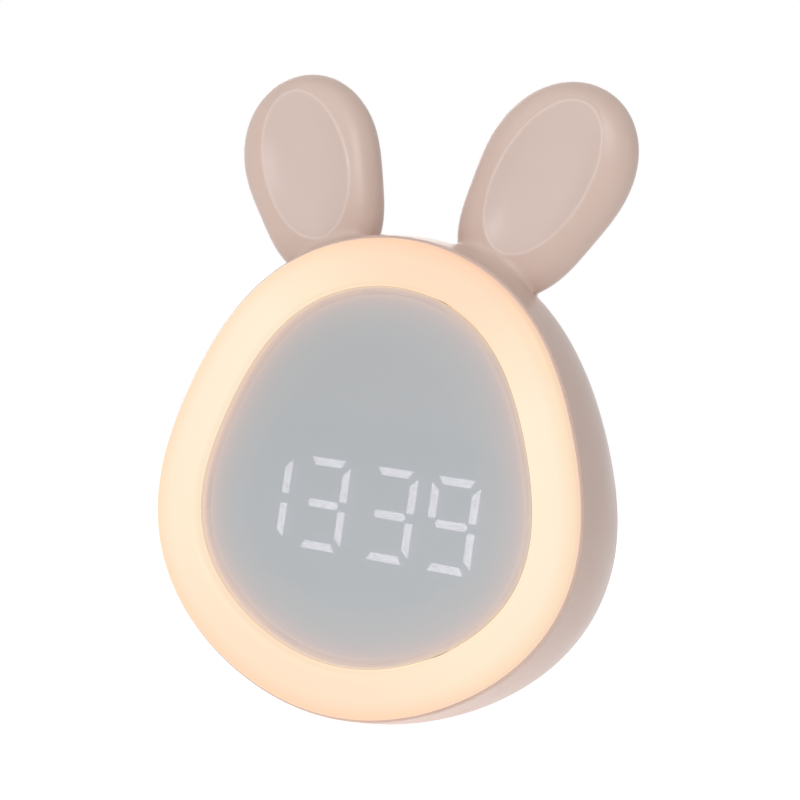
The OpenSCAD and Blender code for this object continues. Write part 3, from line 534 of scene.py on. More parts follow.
def ear_solid(edge, y):
    """The ear before it is dished: a plate whose faces dome towards its outline, edge away."""
    rim = np.maximum(edge + EAR_ROUND, 0) / EAR_ROUND
    depth = np.where(y < EAR_Y, (EAR_Y - y) / EAR_FRONT, (y - EAR_Y) / EAR_BACK)
    k = np.hypot(rim, depth)
    slope = np.sqrt((rim / EAR_ROUND) ** 2 + (depth / EAR_FRONT) ** 2) / np.maximum(k, 1e-6)
    return (k - 1) / np.maximum(slope, 0.05) + SKIN_IN


def dish_rim(u, v):
    """Place of a point of the ear's frame in its dish: 0 in the middle and 1 on the rim."""
    return np.hypot(u / (DISH_W / 2), (v - DISH_UP) / (DISH_LEN / 2))


def from_dish_rim(x, y, z):
    """Distance of a point on an ear's front from the rim of its dish."""
    u, v = ear_frame(x, z)
    across = dish_rim(u, v)
    return np.where(y < EAR_Y, np.abs(across - 1) * np.hypot(u, v - DISH_UP) / np.maximum(across, 0.1), 99)


def inside_dish(x, y, z):
    """1 in an ear's dish and 0 outside it: the mask of the painted sheen in the dishes."""
    return smooth_step((1.04 - dish_rim(*ear_frame(x, z))) / 0.14) * (y < EAR_Y)


def dish_hollow(u, v, edge, y):
    """The dish sunk into the ear's domed front."""
    dome = np.sqrt(np.maximum(1 - (np.maximum(edge + EAR_ROUND, 0) / EAR_ROUND) ** 2, 0))
    across = dish_rim(u, v)
    sunk = y - EAR_Y + EAR_FRONT * dome - DISH_DEEP * (1 - across ** DISH_BOWL)
    steep = DISH_BOWL * DISH_DEEP / (DISH_W / 2) * np.minimum(across, 1) ** (DISH_BOWL - 1)
    return np.where(across < 1.2, sunk / np.sqrt(1 + steep ** 2), 5)


def smooth_step(share):
    """Runs softly from 0 to 1 as the share does."""
    s = np.clip(share, 0, 1)
    return s * s * (3 - 2 * s)


def root_blend(y):
    """Blend between ear and casing: wide below the ear's front, narrow at its sides and behind."""
    wide = smooth_step((EAR_Y - 2 - y) / 8)
    return ROOT_BLEND_SIDE + (ROOT_BLEND_FRONT - ROOT_BLEND_SIDE) * wide


def foot_recess(x, y, z):
    """The hollow in the flat base that takes the foot."""
    across = np.abs(x) - FOOT_W / 2 - FOOT_GAP + FOOT_ROUND
    along = np.abs(y - FOOT_Y) - FOOT_LEN / 2 - FOOT_GAP + FOOT_ROUND
    flat = np.hypot(np.maximum(across, 0), np.maximum(along, 0)) - FOOT_ROUND
    return np.maximum(flat, z - RECESS_Z)


def casing_field(x, y, z):
    """The casing: side wall and ears in one moulding, open to the front and to the back."""
    u, v = ear_frame(x, z)
    edge = ear_distance(u, v)
    past_end = (y + BACK_SLOPE * z - SIDE_END) / math.sqrt(1 + BACK_SLOPE ** 2)
    solid = soft_max(envelope(x, y, z), past_end, LIP_ROUND / 2)
    ear = soft_max(ear_solid(edge, y), y - EAR_JOINT, LIP_ROUND / 2)
    ear = soft_max(ear, -dish_hollow(u, v, edge, y), DISH_RIM)
    ear = ear - BEAD_HIGH * np.exp(-(from_dish_rim(x, y, z) / BEAD_WIDE) ** 2)
    solid = soft_min(solid, ear, root_blend(y))
    t = side_place(y, z)
    cavity = np.maximum(wall_distance(x, z, t) - side_off(t) + WALL, CAVITY_Z - z)
    solid = soft_max(solid, -cavity, LIP_ROUND)
    solid = soft_max(solid, CASE_FRONT - y, LIP_ROUND)
    solid = soft_max(solid, BASE_Z - z, LIP_ROUND)
    return soft_max(solid, -foot_recess(x, y, z), LIP_ROUND / 2)


def ear_cover_field(x, y, z):
    """An ear's rear cover, with the counterbored hole of its screw."""
    u, v = ear_frame(x, z)
    solid = soft_max(ear_solid(ear_distance(u, v), y), EAR_JOINT + SEAM - y, LIP_ROUND / 2)
    solid = soft_max(solid, EAR_GAP - envelope(x, y, z), LIP_ROUND / 2)
    from_axis = np.hypot(u, v)
    bore = np.maximum(from_axis - HEAD_HOLE_R, EAR_SCREW_Y - y)
    return soft_max(solid, -bore, LIP_ROUND / 2)


# ---------------------------------------------------------------- finishes

def finish_base(name):
    """A new finish, its node tree and its shader."""
    finish = bpy.data.materials.new(name)
    finish.use_nodes = True
    tree = finish.node_tree
    return finish, tree, tree.nodes["Principled BSDF"]


def linear(*srgb):
    """A colour given as 0 to 255 on screen, as the shader wants it."""
    return tuple(((c / 255 + 0.055) / 1.055) ** 2.4 if c > 10.3 else c / 255 / 12.92 for c in srgb) + (1,)


def add_node(tree, kind, **values):
    """A node with values for its inputs or its settings."""
    node = tree.nodes.new(kind)
    for key, value in values.items():
        if key in node.inputs:
            node.inputs[key].default_value = value
        else:
            setattr(node, key, value)
    return node


def join(tree, *links):
    """Links nodes: each link is (node, its output, next node, its input)."""
    for source, output, target, entry in links:
        tree.links.new(source.outputs[output], target.inputs[entry])


def set_inputs(node, **values):
    """Sets a node's inputs, whose names are given with _ for a space."""
    for key, value in values.items():
        node.inputs[key.replace("_", " ")].default_value = value


def noise(tree, scale, detail=2):
    """Noise of that many cells in a metre."""
    place = add_node(tree, "ShaderNodeTexCoord")
    grain = add_node(tree, "ShaderNodeTexNoise", Scale=scale, Detail=detail)
    join(tree, (place, "Object", grain, "Vector"))
    return grain.outputs["Fac"]


def ramp(tree, source, stops):
    """A colour ramp: stops are (place, colour)."""
    node = add_node(tree, "ShaderNodeValToRGB")
    elements = node.color_ramp.elements
    while len(elements) < len(stops):
        elements.new(0.5)
    for element, (place, colour) in zip(elements, stops):
        element.position, element.color = place, colour
    tree.links.new(source, node.inputs["Fac"])
    return node.outputs["Color"]


def screen_ramp(tree, source, stops):
    """A colour ramp whose colours are given as 0 to 255 on screen."""
    return ramp(tree, source, [(place, linear(*colour)) for place, colour in stops])


def attribute(tree, name):
    """The numbers kept on the mesh's points under that name."""
    return add_node(tree, "ShaderNodeAttribute", attribute_name=name).outputs["Fac"]


def mix_colours(tree, share, first, second, way="MIX"):
    """Mixes two colours by a share, each of which is a value or a node's output."""
    node = add_node(tree, "ShaderNodeMix", data_type="RGBA", blend_type=way)
    for name, source in (("Factor", share), ("A", first), ("B", second)):
        if isinstance(source, bpy.types.NodeSocket):
            tree.links.new(source, node.inputs[name])
        else:
            node.inputs[name].default_value = source
    return node.outputs["Result"]


def map_range(tree, source, start, end, low, high):
    """Maps a value from start and end to low and high."""
    node = add_node(tree, "ShaderNodeMapRange")
    set_inputs(node, From_Min=start, From_Max=end, To_Min=low, To_Max=high)
    tree.links.new(source, node.inputs["Value"])
    return node.outputs["Result"]


def spread(tree, source, low, high):
    """Maps noise, which lies around 0.5, to the range from low to high."""
    return map_range(tree, source, 0.3, 0.7, low, high)


def bump(tree, shader, source, strength, depth):
    """Gives the shader a bump of that depth in mm."""
    node = add_node(tree, "ShaderNodeBump", Strength=strength, Distance=depth * MM)
    tree.links.new(source, node.inputs["Height"])
    join(tree, (node, "Normal", shader, "Normal"))


def moulded(name, colour, rough, grain, depth, shift=0.03):
    """Moulded plastic: a faint cloud in its colour, uneven gloss, and a fine grain of that size and depth."""
    finish, tree, shader = finish_base(name)
    cloud = noise(tree, 22, 3)
    base = linear(*colour)
    light = tuple(min(c * (1 + shift), 1) for c in base[:3]) + (1,)
    dark = tuple(c * (1 - shift) for c in base[:3]) + (1,)
    tree.links.new(ramp(tree, cloud, ((0.35, dark), (0.65, light))), shader.inputs["Base Color"])
    tree.links.new(spread(tree, noise(tree, 90, 3), *rough), shader.inputs["Roughness"])
    bump(tree, shader, noise(tree, 1 / (grain * MM), 2), 0.35, depth)
    set_inputs(shader, Specular_IOR_Level=0.35)
    return finish


def casing_finish():
    """Satin pink, greyer and paler in the dishes as a painted sheen, and palest along the fine bead round
    each as a painted highlight.
    """
    finish = moulded("satin_pink", PINK, (0.28, 0.35), 0.45, 0.006, 0.012)
    tree = finish.node_tree
    base = tree.nodes["Principled BSDF"].inputs["Base Color"]
    colour = base.links[0].from_socket
    # The dishes' tone is a painted sheen and the beads' tone a painted highlight
    for name, painted_tone in (("dish", (225, 203, 194)), ("bead", (234, 214, 204))):
        colour = mix_colours(tree, attribute(tree, name), colour, linear(*painted_tone))
    tree.links.new(colour, base)
    return finish


def glow_finish():
    """The frosted light ring: its colour runs from the inner rim to the outer and from side to top."""
    finish, tree, shader = finish_base("frosted_glow")
    rims = ((0, (250, 233, 208)), (0.08, (254, 239, 213)), (0.3, (253, 238, 214)), (0.6, (252, 237, 212)),
            (0.8, (252, 230, 202)), (0.93, (251, 224, 193)), (1, (243, 212, 187)))
    ends = ((0, (255, 242, 236)), (0.2, (255, 250, 246)), (0.5, (255, 253, 251)), (0.82, (255, 254, 252)),
            (0.93, (255, 247, 241)), (1, (255, 237, 230)))
    glow = mix_colours(tree, 1, screen_ramp(tree, attribute(tree, "across"), rims),
                       screen_ramp(tree, attribute(tree, "upright"), ends), "MULTIPLY")
    tree.links.new(glow, shader.inputs["Emission Color"])
    set_inputs(shader, Emission_Strength=0.97, Base_Color=(0.04, 0.034, 0.028, 1), Specular_IOR_Level=0.2)
    tree.links.new(spread(tree, noise(tree, 60), 0.3, 0.4), shader.inputs["Roughness"])
    bump(tree, shader, noise(tree, 1500), 0.2, 0.01)
    return finish


def mirror_finish():
    """Half mirror: mostly reflects, lets a little through, and has a painted warm glow along its rim, more on
    its left, for the ring's light on it.
    """
    finish, tree, shader = finish_base("half_mirror")
    places = (0, 0.033, 0.067, 0.1, 0.15, 0.217, 0.283, 0.383, 0.483, 0.65, 1)
    strong = ((172, 128, 72), (172, 116, 50), (174, 112, 48), (168, 108, 46), (146, 92, 34), (120, 70, 14),
              (106, 58, 8), (86, 50, 2), (72, 44, 0), (54, 34, 0), (20, 14, 0))
    faint = ((176, 132, 80), (166, 112, 45), (156, 100, 32), (138, 84, 18), (116, 64, 6), (102, 55, 2),
             (88, 50, 0), (76, 42, 0), (66, 40, 0), (50, 33, 0), (20, 14, 0))
    # Painted glow: warm emission for the ring's light on the mirror, fading in from the rim and stronger on
    # the left
    painted_glows = [screen_ramp(tree, attribute(tree, "rim"), list(zip(places, tones))) for tones in (faint, strong)]
    tree.links.new(mix_colours(tree, attribute(tree, "left"), *painted_glows), shader.inputs["Emission Color"])
    tint = ramp(tree, noise(tree, 14), ((0, (0.402, 0.463, 0.517, 1)), (1, (0.432, 0.493, 0.547, 1))))
    tree.links.new(tint, shader.inputs["Base Color"])
    set_inputs(shader, Emission_Strength=1, Metallic=1, Alpha=0.8, Roughness=0.28)
    return finish


def lit_bar_finish():
    """A digit's bar that gives off white light."""
    finish, tree, shader = finish_base("lit_bar")
    soft = screen_ramp(tree, noise(tree, 160), ((0, (236, 224, 240)), (1, (252, 242, 252))))
    tree.links.new(soft, shader.inputs["Emission Color"])
    set_inputs(shader, Emission_Strength=6, Base_Color=(0.3, 0.3, 0.32, 1))
    return finish


def brushed(name, colour, rough=(0.22, 0.36), stretch=(400, 30, 400)):
    """Metal with fine drawn lines."""
    finish, tree, shader = finish_base(name)
    place = add_node(tree, "ShaderNodeTexCoord")
    squeeze = add_node(tree, "ShaderNodeMapping")
    squeeze.inputs["Scale"].default_value = stretch
    lines = add_node(tree, "ShaderNodeTexNoise", Scale=6, Detail=3)
    join(tree, (place, "Object", squeeze, "Vector"), (squeeze, "Vector", lines, "Vector"))
    base = linear(*colour)
    dark = tuple(c * 0.86 for c in base[:3]) + (1,)
    tree.links.new(ramp(tree, lines.outputs["Fac"], ((0.3, dark), (0.7, base))), shader.inputs["Base Color"])
    tree.links.new(spread(tree, lines.outputs["Fac"], *rough), shader.inputs["Roughness"])
    set_inputs(shader, Metallic=1)
    return finish


def cell_finish():
    """A dry cell: steel ends and a dark jacket with a pale band near each."""
    finish, tree, shader = finish_base("cell_jacket")
    place = add_node(tree, "ShaderNodeTexCoord")
    parts = add_node(tree, "ShaderNodeSeparateXYZ")
    join(tree, (place, "Object", parts, "Vector"))
    half = TRAY_HALF * MM
    reach = map_range(tree, parts.outputs["X"], -half, half, 0, 1)
    steel, jacket, band = (196, 198, 202), (52, 84, 92), (206, 210, 208)
    bands = screen_ramp(tree, reach, ((0, steel), (0.115, jacket), (0.27, band), (0.3, jacket), (0.7, band),
                                      (0.73, jacket), (0.885, steel)))
    bands.node.color_ramp.interpolation = "CONSTANT"
    tree.links.new(bands, shader.inputs["Base Color"])
    tree.links.new(spread(tree, noise(tree, 120), 0.25, 0.38), shader.inputs["Roughness"])
    set_inputs(shader, Metallic=0.6)
    return finish


PINK = (224, 198, 186)
FINISHES = {
    "casing_plastic": casing_finish(),
    "cover_plastic": moulded("textured_pink", PINK, (0.46, 0.56), 0.7, 0.03, 0.015),
    "light_ring_plastic": glow_finish(),
    "mirror_plate": mirror_finish(),
    "lit_bars": lit_bar_finish(),
    "unlit_bars": moulded("unlit_bar", (122, 124, 128), (0.4, 0.5), 0.5, 0.005),
    "white_plastic": moulded("white_plastic", (236, 234, 230), (0.38, 0.48), 0.6, 0.01),
    "key_plastic": moulded("key_pink", (226, 203, 192), (0.28, 0.36), 0.4, 0.004, 0.01),
    "black_plastic": moulded("black_plastic", (32, 32, 34), (0.35, 0.5), 0.4, 0.012, 0.08),
    "rubber": moulded("grey_rubber", (118, 110, 106), (0.7, 0.85), 0.35, 0.03, 0.05),
    "tape": moulded("foam_tape", (40, 40, 42), (0.8, 0.9), 0.3, 0.05, 0.1),
    "circuit_board": moulded("green_board", (24, 92, 58), (0.25, 0.4), 1.5, 0.01, 0.12),
    "white_board": moulded("white_board", (238, 238, 232), (0.3, 0.42), 1.5, 0.01, 0.03),
    "led_package": moulded("led_package", (250, 226, 160), (0.2, 0.3), 0.3, 0.004, 0.04),
    "steel": brushed("plated_steel", (205, 206, 210)),
    "cell_jacket": cell_finish(),
    "capacitor_can": brushed("can_aluminium", (214, 216, 220), (0.25, 0.4), (300, 300, 40)),
    "wire_cover": moulded("red_wire", (168, 40, 34), (0.35, 0.5), 0.4, 0.01, 0.06),
    "ribbon": moulded("grey_ribbon", (206, 208, 210), (0.4, 0.5), 1.27, 0.04, 0.05),
}
DARK_HOUSING = moulded("smoked_housing", (92, 95, 97), (0.4, 0.5), 0.5, 0.005, 0.02)

for subpart in frame["record"]["subparts"]:
    node = frame["nodes"][subpart["node"]]
    node.data.materials.clear()
    finish = DARK_HOUSING if subpart["node"] == "digit_housing" else FINISHES[subpart["material_slot"]]
    node.data.materials.append(finish)


# ---------------------------------------------------------------- the pieces

def make_casing():
    """The casing with both ears, closer knit along the rims of the dishes."""
    low, high = (-64, CASE_FRONT - 1.5, BASE_Z - 1.1), (64, SIDE_END + 13.5, 111)
    points, faces = skin(casing_field, low, high, CASING_CELL)
    points, faces = refine(points, faces, casing_field, from_dish_rim, RIM_BANDS, CASING_CELL)
    mesh = make_mesh("casing", points, faces, 60)
    # bead and dish are the masks of the painted highlight along each dish's bead and of the painted sheen in
    # the dishes
    keep_values(mesh, bead=np.exp(-(from_dish_rim(*points.T) / BEAD_WIDE) ** 2), dish=inside_dish(*points.T))
    add_piece("casing", mesh, "casing_plastic", "case_shell")


def make_ear_covers():
    """The two covers that close the ears from behind."""
    front, back = EAR_JOINT - 0.6, EAR_Y + EAR_BACK + 0.6
    for node, left, right in (("ear_back_left", -63, -8), ("ear_back_right", 8, 63)):
        points, faces = skin(ear_cover_field, (left, front, 46), (right, back, 111), EAR_COVER_CELL)
        add_piece(node + "_cover", make_mesh(node, points, faces, 60), "cover_plastic", node)


# The ring glows warmest this far to the right of its top
WARM_TILT = math.radians(12)


def make_light_ring():
    """The frosted ring: a rounded crown, with two skirts that reach behind the face."""
    steps = 480
    roof, inner_y, outer_y, power = 0.6, 0.1, CASE_FRONT - SEAM, 2 / RING_SQUARE
    rise = RING_CROWN + (inner_y + outer_y) / 2
    skirt_out, skirt_in = FRONT_STEP - WALL - RING_GAP, SKIRT_T - RING_W
    crown = []
    for g in np.linspace(math.pi, 0, 49):
        c, s = math.cos(g), max(math.sin(g), 0)
        u = (1 + math.copysign(abs(c) ** power, c)) / 2
        crown.append((RING_W * (u - 1), inner_y + u * (outer_y - inner_y) - rise * s ** power))
    back = [(skirt_out, outer_y), (skirt_out, SKIRT_DEEP), (skirt_out - SKIRT_T, SKIRT_DEEP),
            (skirt_out - SKIRT_T, roof), (skirt_in, roof), (skirt_in, SKIRT_DEEP - 1.5),
            (-RING_W, SKIRT_DEEP - 1.5)]
    points, faces = loft(stack(lambda off: outline(BODY, off, steps), crown + back), closed=True)
    mesh = make_mesh("glow_ring", points, faces, 50)
    across = np.repeat([1 + off / RING_W for off, _ in crown + back], steps)
    warm = points[:, 0] * math.sin(WARM_TILT) + points[:, 2] * math.cos(WARM_TILT)
    upright = (1 + warm / np.hypot(points[:, 0], points[:, 2])) / 2
    keep_values(mesh, across=np.clip(across, 0, 1), upright=np.clip(upright, 0, 1))
    add_piece("glow_ring", mesh, "light_ring_plastic", "light_ring")


def make_mirror():
    """The half mirror, with its distance from the rim and its side kept for the painted warm glow there."""
    edge = -RING_W - LENS_GAP
    soft, fade = 0.2, 15
    inwards = [0, 0.4, 0.8, 1.3, 1.8, 2.6, 3.6, 4.8, 6.5, 8.5, 11, fade]
    levels = [(edge - soft, LENS_Y + LENS_T), (edge, LENS_Y + LENS_T - soft), (edge, LENS_Y + soft)]
    levels += [(edge - soft - off, LENS_Y) for off in inwards]
    points, faces = loft(stack(lambda off: outline(BODY, off), levels))
    mesh = make_mesh("half_mirror", points, faces, 30)
    # rim and left are the masks of the painted glow, which stands in for the ring's light on the mirror
    rim = np.repeat([0, 0, 0] + [off / fade for off in inwards], OUTLINE_STEPS)
    left = smooth_step(0.5 - 0.6 * points[:, 0] / np.hypot(points[:, 0], points[:, 2]))
    keep_values(mesh, rim=rim, left=left)
    add_piece("half_mirror", mesh, "mirror_plate", "display_lens")


def cover_dish():
    """The rear cover's own shell: lip, rounded edge and flat back, with the inside offset by the wall."""
    end, rim, soft = float(side_off(1)), 0.35, 0.3
    inner = BACK_ROUND - WALL - RING_GAP - LIP_T
    bend_y = BACK_MID - WALL - inner
    lip_y, joint_y = SIDE_END - LIP_LEN, SIDE_END + SEAM
    lip_in, lip_out = end - WALL - RING_GAP - LIP_T, end - WALL - RING_GAP
    levels = [(FLAT_OFF + inner * math.cos(g), bend_y + inner * math.sin(g))
              for g in np.linspace(math.pi / 2, 0, 6)]
    levels += [(lip_in, lip_y + soft), (lip_in + soft, lip_y), (lip_out - soft, lip_y),
               (lip_out, lip_y + soft), (lip_out, joint_y)]
    edge = end - SKIN_IN
    levels += [(edge - rim, joint_y), (edge - 0.29 * rim, joint_y + 0.29 * rim)]
    levels += [(edge - (BACK_ROUND - SKIN_IN) * (1 - math.cos(g)), SIDE_END + BACK_ROUND * math.sin(g))
               for g in np.radians([4, 12, 21, 30, 39, 48, 57, 66, 90])]
    loops = stack(lambda off: outline(BODY, off), levels)
    for loop in loops:
        loop[:, 1] -= BACK_SLOPE * loop[:, 2]
    return loft(loops)


def mouth(shape, deep, soft):
    """A cutter from outside the back to that depth, whose mouth is rounded by soft."""
    rounded = [(soft * (1 - math.sin(g)), -soft * (1 - math.cos(g))) for g in np.linspace(math.pi / 2, 0, 5)]
    points, faces = loft(stack(shape, [(0, -deep)] + rounded + [(soft, 1)]))
    return from_back(points), faces


def cover_cutters():
    """Everything that is cut from the rear cover."""
    parts = [mouth(ring_shape(d / 2 + KEY_GAP, x, z), HOLE_DEEP, KEY_MOUTH) for x, z, d in KEYS.values()]
    switch_h = KNOB_LEN + SWITCH_TRAVEL + 2 * KNOB_GAP
    switch = box_shape(KNOB_W + 2 * KNOB_GAP, switch_h, 0.3, SWITCH_X, SWITCH_Z)
    parts.append(mouth(switch, HOLE_DEEP, SLOT_MOUTH))
    parts.append(mouth(box_shape(USB_W, USB_H, USB_ROUND, USB_X, UPPER_ROW_Z), HOLE_DEEP, USB_MOUTH))
    for k in range(SLOTS):
        z = UPPER_ROW_Z + SLOT_PITCH * (k - SLOTS // 2)
        parts.append(mouth(slot_shape(SLOT_W, SLOT_H, BUZZER_X, z), HOLE_DEEP, SLOT_MOUTH))
    parts.append(mouth(lambda off: door_shape(off + DOOR_GAP), DOOR_T + 0.1, DOOR_MOUTH))
    parts.append(tray_cutter())
    for z in DOOR_SCREWS_Z:
        shank = ring_shape(SCREW_D / 2 + 0.05, 0, z, 24)
        points, faces = loft(stack(shank, [(0, -DOOR_T - 5), (0, -DOOR_T + 1)]))
        parts.append((from_back(points), faces))
    for x, z in COVER_SCREWS:
        end = back_y(z)
        levels = [(0, end - COVER_SEAT), (0, end - 0.5), (0.4, end + 0.3), (0.4, end + 3)]
        parts.append(loft(stack(ring_shape(HEAD_HOLE_R, x, z, 48), levels)))
    return parts


def tray_cutter():
    """The tray's inside: three cradles side by side."""
    half_h, floor = TRAY_H / 2, -TRAY_DEEP
    r = CELL_D / 2 + 0.2
    profile = [(half_h, -DOOR_T + 0.05), (half_h, CELL_Y)]
    for k in (1, 0, -1):
        centre = k * CELL_PITCH
        for g in np.linspace(0, math.pi, 13):
            profile.append((centre + r * math.cos(g), max(CELL_Y - r * math.sin(g), floor)))
    profile += [(-half_h, CELL_Y), (-half_h, -DOOR_T + 0.05)]
    loops = [np.array([(x, y, TRAY_Z + z) for z, y in profile]) for x in (-TRAY_HALF, TRAY_HALF)]
    points, faces = loft(loops)
    return from_back(points), faces


def cover_additions():
    """Tray walls, the door's ledge and the screws' posts, which join the rear cover's shell."""
    parts = []
    tray = box_shape(2 * (TRAY_HALF + TRAY_WALL), TRAY_H + 2 * TRAY_WALL, 1, 0, TRAY_Z)
    for shape, low in ((tray, -TRAY_DEEP - TRAY_WALL),
                       (lambda off: door_shape(off + DOOR_LEDGE), -DOOR_T - DOOR_SEAT)):
        points, faces = loft(stack(shape, [(0, low), (0, -1)]))
        parts.append((from_back(points), faces))
    for x, z in COVER_SCREWS:
        levels = [(0, back_y(z) - COVER_POST_L), (0, back_y(z) - 1.2)]
        parts.append(loft(stack(ring_shape(COVER_POST_D / 2, x, z, 48), levels)))
    return parts


def make_rear_cover():
    """The rear cover: its shell joined with all that stands on it, less its holes."""
    steps = [("UNION", make_mesh("add", *part)) for part in cover_additions()]
    steps += [("DIFFERENCE", make_mesh("cut", *part)) for part in cover_cutters()]
    mesh = flat_shaded(carve(make_mesh("rear_cover", *cover_dish()), steps), BACK_CREASE, BACK_NORMAL)
    add_piece("rear_cover_shell", mesh, "cover_plastic", "rear_cover")


def make_keys():
    """Round keys with a softly domed cap, a rounded rim and a hidden flange."""
    soft, inner = 0.45, -WALL - FLANGE_GAP
    for node, (x, z, d) in KEYS.items():
        r, sphere = d / 2, 2 * d
        levels = [(q, KEY_PROUD - sphere + math.sqrt(sphere ** 2 - q ** 2))
                  for q in np.linspace(0.05, r - soft, 9)]
        top = levels[-1][1]
        levels += [(r - soft + soft * math.sin(g), top - soft * (1 - math.cos(g)))
                   for g in np.linspace(0.25, math.pi / 2, 6)]
        levels += [(r, inner), (r + FLANGE_EDGE, inner), (r + FLANGE_EDGE, inner - FLANGE_T)]
        points, faces = loft(stack(ring_shape(0, x, z, 96), levels))
        add_piece(node + "_cap", make_mesh(node, from_back(points), faces, 40), "key_plastic", node, node)


def make_knob():
    """The alarm switch's knob: a hidden slide, a stem and three grip ribs."""
    z, inner = SWITCH_Z - SWITCH_TRAVEL / 2, -WALL - FLANGE_GAP
    stem = box_shape(KNOB_W, KNOB_LEN, 0.35, SWITCH_X, z)
    slide = box_shape(KNOB_W + 3.4, KNOB_LEN + 2 * SWITCH_TRAVEL + 1.6, 0.4, SWITCH_X, z)
    parts = [loft(stack(stem, soft_edges(inner - 0.1, 0.6, 0, 0.2))),
             loft(stack(slide, [(0, inner - FLANGE_T), (0, inner)]))]
    for k in (-1, 0, 1):
        rib = box_shape(KNOB_W - 0.3, 0.5, 0.2, SWITCH_X, z + 1.05 * k)
        parts.append(loft(stack(rib, soft_edges(0.4, 1.0, 0, 0.2))))
    points, faces = combine(parts)
    mesh = make_mesh("alarm_knob", from_back(points), faces)
    add_piece("alarm_knob", mesh, "white_plastic", "alarm_switch_knob", "alarm_switch_knob")


def make_door():
    """The battery door: rounded rim and two countersunk screw lobes."""
    points, faces = loft(stack(door_shape, soft_edges(-DOOR_T, 0, 0.2, 0.45, 6)))
    levels = [(0, -DOOR_SCREW_DEEP), (0, -0.3), (0.3, 0), (0.3, 1)]
    steps = []
    for z in DOOR_SCREWS_Z:
        cut = loft(stack(ring_shape(HEAD_HOLE_R, 0, z, 48), levels))
        steps.append(("DIFFERENCE", make_mesh("cut", from_back(cut[0]), cut[1])))
    mesh = flat_shaded(carve(make_mesh("door", from_back(points), faces), steps), BACK_CREASE, BACK_NORMAL)
    add_piece("battery_door_panel", mesh, "cover_plastic", "battery_door", "battery_door")


def make_foot():
    """The rubber pad in the base, which the clock rests on."""
    shape = box_shape(FOOT_W, FOOT_LEN, FOOT_ROUND, 0, 0, 12)
    points, faces = loft(stack(shape, soft_edges(0, FOOT_H, 0.25, 0)))
    up = np.stack([points[:, 0], points[:, 2] + FOOT_Y, points[:, 1] + FLOOR_Z], 1)
    add_piece("foot_pad", make_mesh("foot_pad", up, faces), "rubber", "rubber_foot")


# ---------------------------------------------------------------- screws, set out by geometry nodes

def screw_master():
    """A pan head screw in metres, seat at the origin and head towards +Z, with a cross recess."""
    r, h, flank, steps = HEAD_D / 2, HEAD_H, 0.45, 48
    a = np.linspace(0, 2 * math.pi, steps, endpoint=False)
    levels = [(SCREW_D / 2 - 0.2, -3), (SCREW_D / 2, -2.6), (SCREW_D / 2, 0), (r, 0), (r, h * flank)]
    levels += [(r * math.cos(g), h * (flank + (1 - flank) * math.sin(g))) for g in np.linspace(0.2, 1.35, 7)]
    points, faces = loft([np.stack([q * np.cos(a), q * np.sin(a), np.full(steps, y)], 1) for q, y in levels])
    arm, thin, deep = r * 0.66, 0.32, 0.8
    corner = np.array([(arm, thin), (thin, thin), (thin, arm)])
    cross = np.concatenate([corner, corner[::-1] * (-1, 1), -corner, corner[::-1] * (1, -1)])
    cut = loft([np.column_stack([cross * s, np.full(12, y)]) for s, y in ((0.75, h - deep), (1, h + 0.5))])
    recess = [("DIFFERENCE", bare_mesh("cross", cut[0] * MM, cut[1]))]
    return flat_shaded(carve(bare_mesh("screw", points * MM, faces), recess), 30)


def screw_tree():
    """Geometry nodes: one screw on each point, turned to the seat, in the finish given."""
    tree = bpy.data.node_groups.new("set_screws", "GeometryNodeTree")
    for name, way, kind in (("Seats", "INPUT", "Geometry"), ("Screw", "INPUT", "Object"),
                            ("Turn", "INPUT", "Vector"), ("Finish", "INPUT", "Material"),
                            ("Screws", "OUTPUT", "Geometry")):
        tree.interface.new_socket(name, in_out=way, socket_type="NodeSocket" + kind)
    take, give = tree.nodes.new("NodeGroupInput"), tree.nodes.new("NodeGroupOutput")
    info = tree.nodes.new("GeometryNodeObjectInfo")
    turn = tree.nodes.new("FunctionNodeEulerToRotation")
    place = tree.nodes.new("GeometryNodeInstanceOnPoints")
    real = tree.nodes.new("GeometryNodeRealizeInstances")
    paint = tree.nodes.new("GeometryNodeSetMaterial")
    join(tree, (take, "Screw", info, "Object"), (take, "Turn", turn, "Euler"),
         (take, "Seats", place, "Points"), (info, "Geometry", place, "Instance"),
         (turn, "Rotation", place, "Rotation"),
         (place, "Instances", real, "Geometry"), (real, "Geometry", paint, "Geometry"),
         (take, "Finish", paint, "Material"), (paint, "Geometry", give, "Screws"))
    return tree


def make_screws():
    """The screws that show from behind, each set on its seat."""
    tree, master = screw_tree(), bare_object("screw_master", screw_master())
    sockets = {s.name: s.identifier for s in tree.interface.items_tree if s.in_out == "INPUT"}
    cover = [(x, back_y(z) - COVER_SEAT, z) for x, z in COVER_SCREWS]
    ears = [(side * EAR_X, EAR_SCREW_Y, EAR_Z) for side in (-1, 1)]
    door = from_back([(0, -DOOR_SCREW_DEEP, z) for z in DOOR_SCREWS_Z])
    backwards = -math.pi / 2
    for name, seats, lean, body in (("cover_screws", cover, 0, "root"), ("ear_screws", ears, 0, "root"),
                                    ("door_screws", door, BACK_ANGLE, "battery_door")):
        holder = bare_object(name + "_seats", bare_mesh(name, (np.array(seats) + FACE) * MM, []))
        setter = holder.modifiers.new("set_screws", "NODES")
        setter.node_group = tree
        setter[sockets["Screw"]] = master
        setter[sockets["Turn"]] = (backwards + lean, 0, 0)
        setter[sockets["Finish"]] = FINISHES["steel"]
        done = plain_mesh(holder)
        bpy.data.objects.remove(holder)
        add_piece(name + "_set", done, "steel", name, body)
    bpy.data.objects.remove(master)


make_casing()
make_ear_covers()
make_light_ring()
make_mirror()
make_rear_cover()
make_keys()
make_knob()
make_door()
make_foot()
make_screws()


